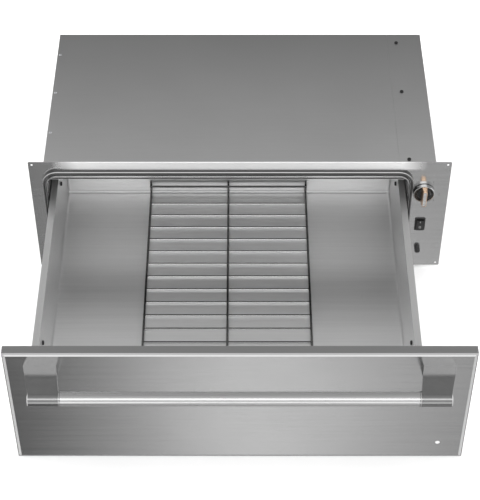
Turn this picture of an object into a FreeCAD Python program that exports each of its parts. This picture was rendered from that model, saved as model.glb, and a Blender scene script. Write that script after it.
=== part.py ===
import FreeCAD, Part
import math
import os

# Built-in 30 inch warming drawer, standing open.
# Millimetres. X runs to the right of someone facing the drawer, Y runs back into the cabinet, Z runs up.
# Pieces are drawn with Y = 0 on the face flange's front and Z = 0 on its bottom edge.
# The pieces of the drawer are drawn shut. Saving moves each body to its place with the drawer pulled out,
# and moves the origin to the middle of the flange's four screw holes.

V = FreeCAD.Vector

# Sheet metal and the gaps between pieces
SHEET = 0.8
BEND_R = 5.0
FOLD = 12.0
RUN_GAP = 0.05
HOLE_GAP = 0.1

# Face flange
FLANGE_W = 755.65
FLANGE_H = 266.7
FLANGE_T = 1.2
FLANGE_CORNER_R = 2.0
SCREW_INSET = 6.6
SCREW_HOLE_R = 2.1

# Casing behind the flange, with its top sloping down at the back
CASING_W = FLANGE_W - 2 * 24.325
CASING_BASE = 16.0
CASING_TOP = FLANGE_H - 21.7
CASING_FLAT = 390.0
CASING_DEPTH = 590.0
CASING_BACK = 86.0
FRONT_FOLD = 7.5
SEAM_GAP = 0.4

# Opening in the flange and the cavity behind it. The control bay is the space right of the cavity.
BAY_W = 49.0
OPEN_TOP = FLANGE_H - 38.7
OPEN_BOTTOM = 19.0
OPEN_R = 18.0
OPEN_DEPTH = 6.0
EDGE_R = 2.0
LINER_SIDE_GAP = 5.2
LINER_TOP = OPEN_TOP - 8.5
LINER_FLOOR = 25.0
LINER_BACK_GAP = 10.0
LINER_FOLD = 5.0
SLOPE_AIR = 1.2

# Rail under the seam of the covers
SEAM_IN = 17.0
RAIL_IN = 1.5
RAIL_TOP = 32.0
RAIL_FOOT = 14.0

# Fasteners
FASTENER_R = 1.5
HEAD_R = 3.4
HEAD_H = 1.6
HEAD_FLAT = 0.6
SHANK = 7.0
PAN_SHANK = 8.5
PAN_HEAD_R = 4.0
PAN_HEAD_H = 3.2
RIVET_HEAD_R = 2.4
RIVET_IN = 5.5
RIVET_Y = (103.0, 215.0, 327.0)
COVER_SCREW_IN = 17.8
COVER_SCREW_Y = (31.0, 218.0, 364.0)
REAR_SCREW_RISE = 40.0

# Rear panel
VENT_L = 40.0
VENT_H = 5.0
VENT_PITCH = 56.0
VENT_COUNT = 9
VENT_Z = 62.0
GLAND_IN = 27.5
GLAND_Z = 62.0
GLAND_R = 10.0
GLAND_BORE = 4.0
GLAND_LIP = 3.0
GLAND_FRONT = 5.0
GLAND_BACK = 12.0

# Insulation
BLANKET_GAP = 0.2
BLANKET_R = 4.0

# Heating element under the pan
ELEMENT_R = 3.25
ELEMENT_Z = 34.0
ELEMENT_BEND = 25.0
ELEMENT_RUNS = (480.0, 350.0, 240.0, 110.0)
ELEMENT_RETURN = 440.0
ELEMENT_LEFT_IN = 62.5
ELEMENT_RIGHT_IN = 59.5
ELEMENT_INNER_IN = 119.5
ELEMENT_TAIL = 14.0
COLLAR_R = 6.0
COLLAR_L = 7.0
PLATE_T = 1.5
PLATE_HALF_H = 8.0
PLATE_MARGIN = 10.0
PLATE_R = 6.0
BEAD_L = 5.0
PIN_R = 1.6
PIN_L = 12.0
CLIP_W = 10.0
CLIP_T = 1.2
CLIP_IN = (85.0, 325.0)

# Thermal cutout on the bay side of the cavity wall
CUTOUT_Y = 330.0
CUTOUT_Z = 120.0
CUTOUT_R = 7.5
CUTOUT_H = 9.0
CUTOUT_CAP_R = 6.0
CUTOUT_CAP_H = 3.0
CUTOUT_EAR = 12.0

# Blade terminals
BLADE_T = 0.8
BLADE_W = 6.0
BLADE_L = 8.0
BLADE_SPACE = 7.2

# Door seal around the opening
SEAL_W = 7.0
SEAL_DEPTH = 10.0
SEAL_RISE = 19.7
SEAL_R = 28.0
SEAL_CROWN = 2.94
SEAL_GAP = 0.3

# Drawer pan
SIDE_SPACE = 12.7
PAN_FLOOR = 45.0
PAN_RIM = 179.0
PAN_BACK_GAP = 14.1
RIM_GAP = 2.0
RIM_LIP = 5.0
PAN_AIR = 3.0
PAN_SCREW_IN = (80.6, 6.0)
PAN_SCREW_RISE = (0.0, 4.5)
TRAVEL = 413.1

# Front panel
PANEL_SHY = 0.05
PANEL_BOTTOM = -8.8
PANEL_TOP = FLANGE_H - 1.5
PANEL_T = 17.0
SKIN_T = 1.2
BEVEL_W = 6.0
BEVEL_D = 2.2
INNER_T = 1.0
INNER_GAP = 0.1
POCKET_T = 0.8
POCKET_LEFT = 0.8
POCKET_RIGHT = 5.5
POCKET_RISE = 3.5
POCKET_BOTTOM = 22.0
POCKET_R = 4.0

# Slides
SLIDE_Z = 147.0
SLIDE_H = 35.0
SLIDE_FRONT = 15.0
SLIDE_L = 465.0
SLIDE_T = 1.2
OUTER_LIP = 0.9
OUTER_DEPTH = 9.4
MID_T = 1.0
MID_LIP = 0.6
MID_START = 2.4
MID_END = 9.2
MID_SHORT = 5.0
INNER_START = 4.6
INNER_LONG = 4.0
BALL_R = 1.5
BALL_CENTRE = 6.2
BALL_GAP = 0.1
BALL_PITCH = 16.0
BALL_COUNT = 3
CAGE_T = 0.8
CAGE_END = 4.0

# Wire rack
WIRE_R = 2.0
RACK_W = 300.0
RACK_SHIFT = -0.8
RACK_PITCH = 31.75
RACK_RISE = 26.0
RACK_FRONT_GAP = 20.0
RACK_BACK_GAP = 1.2
WELD_GAP = 0.02
RACK_BEND = 6.0
END_WIRE = 0.6

# Handle
HANDLE_OUT = 57.0
HANDLE_DROP = 41.2
BAR_R = 11.6
BAR_WALL = 1.5
BAR_SPIGOT = 8.0
BAR_END_GAP = 0.2
CAP_WALL = 0.9
CAP_BEVEL = 1.5
POST_SIDE = 31.8
POST_W = 53.0
CAP_STEP_OUT = 12.0
CAP_STEP_IN = 8.0
POST_SCREW_R = 2.5
POST_SCREW_IN = 10.0
POST_SCREW_RISE = 5.0
POST_SCREW_L = 14.0
POST_HEAD_R = 4.4
POST_HEAD_H = 2.8

# Controls, one above the other on the right of the flange
CONTROL_IN = 20.5
KNOB_DROP = 72.7
KNOB_R = 19.5
KNOB_DEPTH = 21.0
KNOB_BACK = -1.2
RING_W = 2.2
RING_EDGE = 0.9
SKIRT_FRONT = -8.0
SKIRT_BORE = 9.2
SKIRT_BOSS = 11.0
SHAFT_R = 3.0
SHAFT_BACK = 18.0
SHAFT_FRONT = -12.0
BUSH_R = 4.75
NUT_T = 2.2
NUT_W = 14.0
GRIP_W = 7.6
GRIP_FLARE = 1.6
GRIP_L = 37.0
GRIP_EDGE = 1.0
THERMOSTAT_HALF_W = 16.0
THERMOSTAT_HALF_H = 17.0
THERMOSTAT_DEPTH = 26.0
THERMOSTAT_COVER_R = 13.0
THERMOSTAT_COVER_T = 5.0
SWITCH_Z = 111.3
SWITCH_W = 19.5
SWITCH_H = 31.0
SWITCH_FRONT = -2.0
SWITCH_BACK = 22.0
SWITCH_RIM_W = 1.25
SWITCH_RIM_H = 1.4
SWITCH_THROW = 16.0
KEY_HALF_W = 6.6
KEY_HALF_H = 11.2
KEY_GAP_W = 0.3
KEY_GAP_H = 1.7
KEY_TIP = 7.4
KEY_DIP = 4.6
KEY_TAPER = 2.2
PIVOT_Y = 3.0
PIVOT_R = 1.5
PIVOT_WALL = 1.9
LAMP_Z = 47.0
LAMP_R = 5.25
LAMP_OUT = 9.0
LAMP_BACK = 20.0
LAMP_STEP = 1.0
LAMP_MOUTH = 1.6
LENS_SEAT = 2.2
LENS_OUT = 0.6
LAMP_NUT_W = 12.0
WINDOW_SHIFT = 0.5
WINDOW_Z = 32.5
WINDOW_R = 4.0
WINDOW_LIP = 1.0

# Terminal block inside the control bay
BLOCK_IN = 45.5
BLOCK_W = 30.0
BLOCK_H = 17.0
BLOCK_L = 26.0
BLOCK_POLES = 3
BLOCK_STEP = 5.0
BLOCK_WELL_R = 3.2
BLOCK_WELL_DEPTH = 8.0
BLOCK_FIN = 1.4

# Worked out from the sizes above
ORIGIN = V(0, 0, FLANGE_H / 2)
SLOPE = (CASING_TOP - CASING_BACK) / (CASING_DEPTH - CASING_FLAT)
SLANT = math.sqrt(1 + SLOPE * SLOPE)
CASING_R = CASING_W / 2
LINER_L = -CASING_R + SHEET + LINER_SIDE_GAP
LINER_R = CASING_R - BAY_W
LINER_BACK = CASING_DEPTH - SHEET - LINER_BACK_GAP
DRAWER_X = (LINER_L + LINER_R) / 2
LINER_HALF = (LINER_R - LINER_L) / 2
WALL_HALF = LINER_HALF - SIDE_SPACE
PAN_HALF = WALL_HALF - SHEET
RIM_HALF = LINER_HALF - RIM_GAP
OPEN_HALF = LINER_HALF
LINER_INSET = SHEET + SLOPE_AIR + SHEET
PAN_INSET = LINER_INSET + PAN_AIR
PAN_BACK = LINER_BACK - PAN_BACK_GAP
BAY_SEAM_X = LINER_R - SEAM_IN
RAIL_WEB = BAY_SEAM_X - RAIL_IN
COVER_SCREW_X = BAY_SEAM_X + COVER_SCREW_IN
RIVET_X = RIVET_IN - CASING_R
GLAND_X = CASING_R - GLAND_IN
ELEMENT_ENDS = (ELEMENT_RUNS[0], ELEMENT_RETURN)
ELEMENT_LEFT = LINER_L + ELEMENT_LEFT_IN
SEAL_TOP = OPEN_TOP + SEAL_RISE
SLIDE_REAR = SLIDE_FRONT + SLIDE_L
INNER_REAR = SLIDE_REAR + INNER_LONG
OUTER_HALF = SLIDE_H / 2
MID_HALF = OUTER_HALF - SLIDE_T - 2 * BALL_R - 2 * BALL_GAP
INNER_HALF = MID_HALF - MID_T - 2 * BALL_R - 2 * BALL_GAP
PANEL_HALF = (FLANGE_W - PANEL_SHY) / 2
PANEL_REAR = -SEAL_DEPTH - SEAL_GAP
PANEL_FRONT = PANEL_REAR - PANEL_T
RACK_X = DRAWER_X + RACK_SHIFT
HANDLE_Y = PANEL_FRONT - HANDLE_OUT
HANDLE_Z = PANEL_TOP - HANDLE_DROP
CAP_R = BAR_R + CAP_WALL
POST_OUT = PANEL_HALF - POST_SIDE
POST_IN = POST_OUT - POST_W
CAP_OUT = POST_OUT - CAP_STEP_OUT
CAP_IN = POST_IN - CAP_STEP_IN
CONTROL_X = CASING_R - CONTROL_IN
KNOB_Z = FLANGE_H - KNOB_DROP
RING_INNER = KNOB_R - RING_W
POCKET_X0 = CONTROL_X - KNOB_R - POCKET_LEFT
POCKET_X1 = CONTROL_X + KNOB_R + POCKET_RIGHT
POCKET_TOP = KNOB_Z + KNOB_R + POCKET_RISE
WINDOW_X = CONTROL_X + WINDOW_SHIFT
STEM_R = LAMP_R - LAMP_STEP
LENS_R = LAMP_R - LAMP_MOUTH
BLOCK_X0 = CASING_R - BLOCK_IN
BLOCK_Z = CASING_BASE + SHEET + FOLD + 1


def box(x0, x1, y0, y1, z0, z1):
    return Part.makeBox(x1 - x0, y1 - y0, z1 - z0, V(x0, y0, z0))


def face_of(points):
    return Part.Face(Part.makePolygon(points + [points[0]]))


def prism_x(yz, x0, x1):
    return face_of([V(x0, y, z) for y, z in yz]).extrude(V(x1 - x0, 0, 0))


def prism_y(xz, y0, y1):
    return face_of([V(x, y0, z) for x, z in xz]).extrude(V(0, y1 - y0, 0))


def prism_z(xy, z0, z1):
    return face_of([V(x, y, z0) for x, y in xy]).extrude(V(0, 0, z1 - z0))


def cylinder(radius, start, end):
    way = end - start
    return Part.makeCylinder(radius, way.Length, start, way)


def pin_y(radius, x, z, y0, y1):
    return cylinder(radius, V(x, y0, z), V(x, y1, z))


def pin_x(radius, y, z, x0, x1):
    return cylinder(radius, V(x0, y, z), V(x1, y, z))


def pin_z(radius, x, y, z0, z1):
    return cylinder(radius, V(x, y, z0), V(x, y, z1))


def rounded_block(x0, x1, y0, y1, z0, z1, radius):
    """A block whose four edges along Y are rounded."""
    block = box(x0, x1, y0, y1, z0, z1)
    return block.makeFillet(radius, [e for e in block.Edges if along(e, V(0, 1, 0))])


def along(edge, way):
    ends = [v.Point for v in edge.Vertexes]
    if len(ends) < 2:
        return False
    line = ends[1] - ends[0]
    return line.cross(way).Length < 1e-6 * line.Length


def edges_at(shape, test):
    """The edges whose middle of the box around them passes the test."""
    return [e for e in shape.Edges if test(e.BoundBox)]


def turned_y(profile, x, z):
    """A solid of revolution about an axis along Y. The profile lists (radius, y)."""
    face = face_of([V(r, y, 0) for r, y in profile])
    solid = face.revolve(V(0, 0, 0), V(0, 1, 0), 360)
    return solid.translated(V(x, 0, z))


def fastener(seat, way, head_r, shank, head_h=HEAD_H):
    """A pan-head fastener: its head stands on the seat and points along way, its shank goes the other way."""
    profile = [(0, head_h), (head_r * HEAD_FLAT, head_h), (head_r, head_h * (1 - HEAD_FLAT)), (head_r, 0),
               (FASTENER_R, 0), (FASTENER_R, -shank), (0, -shank)]
    solid = face_of([V(r, 0, h) for r, h in profile]).revolve(V(0, 0, 0), V(0, 0, 1), 360)
    solid.Placement = FreeCAD.Placement(seat, FreeCAD.Rotation(V(0, 0, 1), way))
    return solid


def hexagon_y(across, bore, x, z, y0, y1):
    corner = across / math.sqrt(3)
    turns = [math.radians(60 * i) for i in range(6)]
    nut = prism_y([(x + corner * math.cos(a), z + corner * math.sin(a)) for a in turns], y0, y1)
    return nut.cut(pin_y(bore, x, z, y0 - 1, y1 + 1))


def joined(shapes):
    return shapes[0].multiFuse(shapes[1:]).removeSplitter() if len(shapes) > 1 else shapes[0]


def together(shapes):
    return Part.makeCompound(shapes)


def bent_tube(points, radius, bend):
    """A round rod through the points, with an arc of the given radius at each inner point."""
    edges = []
    start = points[0]
    for before, corner, after in zip(points, points[1:], points[2:]):
        to_start = (before - corner).normalize()
        to_end = (after - corner).normalize()
        half = to_start.getAngle(to_end) / 2
        reach = bend / math.tan(half)
        first = corner + to_start * reach
        last = corner + to_end * reach
        middle_way = (to_start + to_end).normalize()
        centre = corner + middle_way * (bend / math.sin(half))
        middle = centre - middle_way * bend
        edges.append(Part.LineSegment(start, first).toShape())
        edges.append(Part.Arc(first, middle, last).toShape())
        start = last
    edges.append(Part.LineSegment(start, points[-1]).toShape())
    path = Part.Wire(edges)
    ring = Part.Wire(Part.makeCircle(radius, points[0], points[1] - points[0]))
    return path.makePipeShell([ring], True, False)


def slope_z(y, inset):
    """Height, at depth y, of the sloping roof moved inwards by inset."""
    return CASING_TOP - inset * SLANT - SLOPE * (y - CASING_FLAT)


def slope_y(z, inset):
    """Depth at which the sloping roof, moved inwards by inset, is at height z."""
    return CASING_FLAT + (CASING_TOP - inset * SLANT - z) / SLOPE


def side_outline(front, back, bottom, top, inset):
    """Side view of a box that fits under the sloping roof."""
    return [
        (front, bottom),
        (back, bottom),
        (back, slope_z(back, inset)),
        (slope_y(top, inset), top),
        (front, top),
    ]


# Casing


def face_flange():
    """Flat frame with its opening's edge rolled back, and the holes for the controls and screws."""
    plate = rounded_block(-FLANGE_W / 2, FLANGE_W / 2, 0, FLANGE_T, 0, FLANGE_H, FLANGE_CORNER_R)
    hole = opening_block(0, -1, OPEN_DEPTH + 1)
    rim = opening_block(FLANGE_T, 0, OPEN_DEPTH)
    frame = plate.fuse(rim).cut(hole).removeSplitter()
    inner_r = EDGE_R - FLANGE_T
    seat = edges_at(frame, lambda b: abs(b.YMin - FLANGE_T) < 0.01 and abs(b.YMax - FLANGE_T) < 0.01
                    and on_opening(b, FLANGE_T))
    frame = frame.makeFillet(inner_r, seat)
    front = edges_at(frame, lambda b: abs(b.YMin) < 0.01 and abs(b.YMax) < 0.01 and on_opening(b, 0))
    frame = frame.makeFillet(EDGE_R, front)
    for x, z in screw_places():
        frame = frame.cut(pin_y(SCREW_HOLE_R, x, z, -1, FLANGE_T + 1))
    frame = frame.cut(pin_y(BUSH_R + HOLE_GAP, CONTROL_X, KNOB_Z, -1, FLANGE_T + 1))
    frame = frame.cut(switch_block(HOLE_GAP, -1, FLANGE_T + 1))
    return frame.cut(pin_y(STEM_R + HOLE_GAP, CONTROL_X, LAMP_Z, -1, FLANGE_T + 1))


def opening_block(grow, y0, y1):
    return rounded_block(DRAWER_X - OPEN_HALF - grow, DRAWER_X + OPEN_HALF + grow, y0, y1,
                         OPEN_BOTTOM - grow, OPEN_TOP + grow, OPEN_R + grow)


def on_opening(bound, grow):
    return (bound.XMin > DRAWER_X - OPEN_HALF - grow - 0.1 and bound.XMax < DRAWER_X + OPEN_HALF + grow + 0.1
            and bound.ZMin > OPEN_BOTTOM - grow - 0.1 and bound.ZMax < OPEN_TOP + grow + 0.1)


def screw_places():
    x = FLANGE_W / 2 - SCREW_INSET
    return [(-x, SCREW_INSET), (x, SCREW_INSET), (-x, FLANGE_H - SCREW_INSET), (x, FLANGE_H - SCREW_INSET)]


def casing_shell():
    """Bottom and sides folded from one sheet, with folds for the covers, the rear panel and the flange."""
    top = CASING_TOP - SHEET
    side = side_outline(FLANGE_T, CASING_DEPTH - SHEET, CASING_BASE, top, SHEET)
    outer = prism_x(side, -CASING_R, CASING_R)
    inner_side = side_outline(FLANGE_T - 1, CASING_DEPTH - 2 * SHEET, CASING_BASE + SHEET, top - SHEET,
                              2 * SHEET)
    shell = outer.cut(prism_x(inner_side, SHEET - CASING_R, CASING_R - SHEET))
    clear = CASING_R - SHEET - FOLD
    shell = shell.cut(box(-clear, clear, 0, CASING_DEPTH + 1, CASING_BASE + SHEET + FOLD, CASING_TOP + 1))
    side_fold = CASING_R + FRONT_FOLD
    y1 = FLANGE_T + SHEET
    folds = [box(-side_fold, -CASING_R + SHEET, FLANGE_T, y1, CASING_BASE, top),
             box(CASING_R - SHEET, side_fold, FLANGE_T, y1, CASING_BASE, top),
             box(-clear, clear, FLANGE_T, y1, CASING_BASE - FRONT_FOLD, CASING_BASE + SHEET)]
    shell = joined([shell] + folds)
    for x, y in rivet_places():
        shell = shell.cut(pin_z(FASTENER_R + HOLE_GAP, x, y, CASING_TOP - FOLD, CASING_TOP))
    for x, z in rear_screw_places():
        shell = shell.cut(pin_y(FASTENER_R + HOLE_GAP, x, z, CASING_DEPTH - FOLD, CASING_DEPTH))
    return shell


def rivet_places():
    return [(RIVET_X, y) for y in RIVET_Y]


def cover_strip(x0, x1):
    """A length of the bent roof sheet, flat and then sloping, with a lip up behind the flange."""
    low_top = CASING_TOP - SHEET
    roof = prism_x([(FLANGE_T, low_top), (slope_y(low_top, SHEET), low_top),
                    (CASING_DEPTH, slope_z(CASING_DEPTH, SHEET)), (CASING_DEPTH, slope_z(CASING_DEPTH, 0)),
                    (CASING_FLAT, CASING_TOP), (FLANGE_T, CASING_TOP)], x0, x1)
    lip = box(x0, x1, FLANGE_T, FLANGE_T + SHEET, low_top, CASING_TOP + FRONT_FOLD)
    return joined([roof, lip])


def top_cover():
    cover = cover_strip(-CASING_R, BAY_SEAM_X - SEAM_GAP / 2)
    for x, y in rivet_places():
        cover = cover.cut(pin_z(FASTENER_R + HOLE_GAP, x, y, CASING_TOP - FOLD, CASING_TOP + 1))
    return cover


def bay_cover():
    cover = cover_strip(BAY_SEAM_X + SEAM_GAP / 2, CASING_R)
    for y in COVER_SCREW_Y:
        cover = cover.cut(pin_z(FASTENER_R + HOLE_GAP, COVER_SCREW_X, y, CASING_TOP - FOLD, CASING_TOP + 1))
    return cover


def bay_rail():
    """Z-shaped rail on the cavity's roof that carries the edges of both covers."""
    under = CASING_TOP - SHEET
    foot = LINER_TOP + SHEET
    web = RAIL_WEB
    outline = [(web - RAIL_FOOT, foot), (web + SHEET, foot), (web + SHEET, under - SHEET),
               (web + RAIL_TOP, under - SHEET), (web + RAIL_TOP, under), (web - FOLD / 2, under),
               (web - FOLD / 2, under - SHEET), (web, under - SHEET), (web, foot + SHEET),
               (web - RAIL_FOOT, foot + SHEET)]
    rail = prism_y(outline, OPEN_DEPTH + 2 * LINER_FOLD, CASING_FLAT - 2 * SHEET)
    for y in COVER_SCREW_Y:
        rail = rail.cut(pin_z(FASTENER_R + HOLE_GAP, COVER_SCREW_X, y, CASING_TOP - FOLD, CASING_TOP))
    return rail


def rear_panel():
    """Flat sheet that closes the low back, with a row of vent slots and the hole of the cord gland."""
    top = slope_z(CASING_DEPTH, SHEET) - HOLE_GAP
    sheet = box(-CASING_R, CASING_R, CASING_DEPTH - SHEET, CASING_DEPTH, CASING_BASE, top)
    for i in range(VENT_COUNT):
        x = DRAWER_X + (i - (VENT_COUNT - 1) / 2) * VENT_PITCH
        slot = rounded_block(x - VENT_L / 2, x + VENT_L / 2, CASING_DEPTH - 2, CASING_DEPTH + 1,
                             VENT_Z - VENT_H / 2, VENT_Z + VENT_H / 2, VENT_H * 0.49)
        sheet = sheet.cut(slot)
    sheet = sheet.cut(pin_y(GLAND_R + HOLE_GAP, GLAND_X, GLAND_Z, CASING_DEPTH - 2, CASING_DEPTH + 1))
    for x, z in rear_screw_places():
        sheet = sheet.cut(pin_y(FASTENER_R + HOLE_GAP, x, z, CASING_DEPTH - 2, CASING_DEPTH + 1))
    return sheet


def rear_screw_places():
    side = CASING_R - SHEET - FOLD / 2
    low = CASING_BASE + SHEET + FOLD / 2
    return [(-side, low + REAR_SCREW_RISE), (-side / 3, low), (side / 3, low), (side, low + REAR_SCREW_RISE)]


def rear_screws():
    back = V(0, 1, 0)
    return together([fastener(V(x, CASING_DEPTH, z), back, HEAD_R, SHANK) for x, z in rear_screw_places()])


def cover_screws():
    return together([fastener(V(COVER_SCREW_X, y, CASING_TOP), V(0, 0, 1), HEAD_R, SHANK)
                     for y in COVER_SCREW_Y])


def cover_rivets():
    return together([fastener(V(x, y, CASING_TOP), V(0, 0, 1), RIVET_HEAD_R, SHANK)
                     for x, y in rivet_places()])


def cavity_liner():
    """The drawer's cavity: a folded box that is open at the front, with a flat collar behind the flange."""
    outer = prism_x(side_outline(OPEN_DEPTH, LINER_BACK + SHEET, LINER_FLOOR - SHEET, LINER_TOP + SHEET,
                                 LINER_INSET - SHEET), LINER_L - SHEET, LINER_R + SHEET)
    inner = prism_x(side_outline(OPEN_DEPTH - 1, LINER_BACK, LINER_FLOOR, LINER_TOP, LINER_INSET),
                    LINER_L, LINER_R)
    collar = box(LINER_L - LINER_FOLD, LINER_R + LINER_FOLD, OPEN_DEPTH, OPEN_DEPTH + SHEET,
                 CASING_BASE + SHEET, OPEN_TOP + 2 * LINER_FOLD)
    liner = joined([outer, collar]).cut(inner)
    for y in ELEMENT_ENDS:
        liner = liner.cut(pin_x(ELEMENT_R + HOLE_GAP, y, ELEMENT_Z, LINER_R - 1, LINER_R + 2))
    return liner


def insulation_top():
    """Blanket between the cavity's roof and the cover, cut to the slope at the back."""
    bottom = LINER_TOP + SHEET + BLANKET_GAP
    top = CASING_TOP - 2 * SHEET - BLANKET_GAP
    inset = SHEET + BLANKET_GAP
    outline = [(OPEN_DEPTH + 2 * SHEET, bottom), (slope_y(bottom, LINER_INSET - SHEET - BLANKET_GAP), bottom),
               (slope_y(top, inset) - 1, top), (OPEN_DEPTH + 2 * SHEET, top)]
    left = SHEET - CASING_R + BLANKET_GAP + FOLD
    blanket = prism_x(outline, left, RAIL_WEB - RAIL_FOOT - BLANKET_GAP)
    long_edges = edges_at(blanket, lambda b: b.ZMin > top - 0.01 and b.XLength > 100)
    return blanket.makeFillet(BLANKET_R, long_edges)


def insulation_bottom():
    """Board under the cavity."""
    board = box(LINER_L, LINER_R, OPEN_DEPTH + 2 * LINER_FOLD, LINER_BACK, CASING_BASE + SHEET,
                LINER_FLOOR - SHEET)
    return board.makeFillet(BLANKET_R * 2, [e for e in board.Edges if along(e, V(0, 0, 1))])


def heating_element():
    """Tubular element, bent flat to and fro under the pan, with both ends through the bay wall."""
    tail = LINER_R + ELEMENT_TAIL
    inner = LINER_R - ELEMENT_INNER_IN
    right = LINER_R - ELEMENT_RIGHT_IN
    first, second, third, last = ELEMENT_RUNS
    route = [(tail, first), (ELEMENT_LEFT, first), (ELEMENT_LEFT, second), (inner, second), (inner, third),
             (ELEMENT_LEFT, third), (ELEMENT_LEFT, last), (right, last), (right, ELEMENT_RETURN),
             (tail, ELEMENT_RETURN)]
    return bent_tube([V(x, y, ELEMENT_Z) for x, y in route], ELEMENT_R, ELEMENT_BEND)


def element_plate():
    """Plate with two collars that holds the element's ends on the bay wall."""
    face = LINER_R + SHEET
    plate = box(face, face + PLATE_T, min(ELEMENT_ENDS) - PLATE_MARGIN, max(ELEMENT_ENDS) + PLATE_MARGIN,
                ELEMENT_Z - PLATE_HALF_H, ELEMENT_Z + PLATE_HALF_H)
    plate = plate.makeFillet(PLATE_R, [e for e in plate.Edges if along(e, V(1, 0, 0))])
    collars = [pin_x(COLLAR_R, y, ELEMENT_Z, face, face + COLLAR_L) for y in ELEMENT_ENDS]
    plate = joined([plate] + collars)
    for y in ELEMENT_ENDS:
        plate = plate.cut(pin_x(ELEMENT_R + RUN_GAP, y, ELEMENT_Z, face - 1, face + COLLAR_L + 1))
    return plate


def element_pins():
    """Ceramic beads and threaded pins on the element's two ends."""
    start = LINER_R + ELEMENT_TAIL
    pins = []
    for y in ELEMENT_ENDS:
        bead = pin_x(ELEMENT_R + 1, y, ELEMENT_Z, start, start + BEAD_L)
        pins.append(joined([bead, pin_x(PIN_R, y, ELEMENT_Z, start + BEAD_L, start + BEAD_L + PIN_L)]))
    return together(pins)


def element_clip(x, y):
    """A bent strap: a loop round the element on a leg and a foot."""
    loop = pin_x(ELEMENT_R + RUN_GAP + CLIP_T, y, ELEMENT_Z, x, x + CLIP_W)
    leg = box(x, x + CLIP_W, y + ELEMENT_R - CLIP_T, y + ELEMENT_R, LINER_FLOOR, ELEMENT_Z)
    foot = box(x, x + CLIP_W, y + ELEMENT_R - CLIP_T, y + 5 * ELEMENT_R, LINER_FLOOR, LINER_FLOOR + CLIP_T)
    strap = joined([loop, leg, foot])
    return strap.cut(pin_x(ELEMENT_R + RUN_GAP, y, ELEMENT_Z, x - 1, x + CLIP_W + 1))


def element_clips():
    return together([element_clip(ELEMENT_LEFT + x, y) for x in CLIP_IN for y in ELEMENT_RUNS])


def thermal_cutout():
    """Button thermostat on the bay side of the cavity wall."""
    face = LINER_R + SHEET
    top = face + CUTOUT_H + CUTOUT_CAP_H
    base = box(face, face + PLATE_T, CUTOUT_Y - CUTOUT_EAR, CUTOUT_Y + CUTOUT_EAR,
               CUTOUT_Z - PLATE_HALF_H, CUTOUT_Z + PLATE_HALF_H)
    base = base.makeFillet(PLATE_R - 1, [e for e in base.Edges if along(e, V(1, 0, 0))])
    can = pin_x(CUTOUT_R, CUTOUT_Y, CUTOUT_Z, face, face + CUTOUT_H)
    cap = pin_x(CUTOUT_CAP_R, CUTOUT_Y, CUTOUT_Z, face + CUTOUT_H, top)
    blades = [box(top, top + BLADE_L, y - BLADE_T / 2, y + BLADE_T / 2,
                  CUTOUT_Z - BLADE_W / 2, CUTOUT_Z + BLADE_W / 2)
              for y in (CUTOUT_Y - BLADE_SPACE / 2, CUTOUT_Y + BLADE_SPACE / 2)]
    return joined([base, can, cap] + blades)


# Seal


def door_seal():
    """Hollow bulb seal that lies on the flange around the opening and meets the front panel."""
    left = DRAWER_X - OPEN_HALF - SEAL_GAP
    right = DRAWER_X + OPEN_HALF + SEAL_GAP
    bottom = OPEN_BOTTOM - SEAL_GAP
    top = SEAL_TOP - SEAL_W
    outer = rounded_block(left - SEAL_W, right + SEAL_W, -SEAL_DEPTH, 0, bottom - SEAL_W, SEAL_TOP, SEAL_R)
    seal = outer.cut(rounded_block(left, right, -SEAL_DEPTH - 1, 1, bottom, top, SEAL_R - SEAL_W))
    crown = edges_at(seal, lambda b: b.YMax < 0.01 - SEAL_DEPTH)
    return seal.makeFillet(SEAL_CROWN, crown)


# Slides. A member's section is drawn in (u, w): u from the cavity wall towards the pan, w up from the middle.


def channel(u0, u1, half, wall, lip):
    """C-section open towards the pan, with lips turned inwards."""
    section = [(u0, -half), (u1, -half), (u1, -half + wall + lip), (u1 - wall, -half + wall + lip),
               (u1 - wall, -half + wall), (u0 + wall, -half + wall), (u0 + wall, half - wall),
               (u1 - wall, half - wall), (u1 - wall, half - wall - lip), (u1, half - wall - lip), (u1, half),
               (u0, half)]
    return section


def slide_point(side, u, w):
    """Turns a section point into X and Z, for the left (-1) or right (1) slide."""
    return (DRAWER_X + side * (LINER_HALF - u), SLIDE_Z + w)


def slide_bar(side, section, y0, y1):
    return prism_y([slide_point(side, u, w) for u, w in section], y0, y1)


def slide_outer(side):
    """Fixed member, screwed to the cavity's wall."""
    return slide_bar(side, channel(0, OUTER_DEPTH, OUTER_HALF, SLIDE_T, OUTER_LIP), SLIDE_FRONT, SLIDE_REAR)


def slide_middle(side):
    """Member that follows at half the drawer's travel."""
    section = channel(MID_START, MID_END, MID_HALF, MID_T, MID_LIP)
    return slide_bar(side, section, SLIDE_FRONT + MID_SHORT, SLIDE_REAR - MID_SHORT)


def slide_inner(side):
    """Member on the pan: a hat whose crown faces the cavity's wall."""
    half = INNER_HALF
    crown = INNER_START
    web = SIDE_SPACE
    section = [(crown, -half), (web, -half), (web, -half + SLIDE_T), (crown + SLIDE_T, -half + SLIDE_T),
               (crown + SLIDE_T, half - SLIDE_T), (web, half - SLIDE_T), (web, half), (crown, half)]
    bar = slide_bar(side, section, SLIDE_FRONT, INNER_REAR)
    x = DRAWER_X + side * (LINER_HALF - crown)
    for screw_side, y, z in pan_screw_places():
        if screw_side == side:
            bar = bar.cut(pin_x(FASTENER_R + HOLE_GAP, y, z, x + side, x - side * (SLIDE_T + 1)))
    return bar


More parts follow.
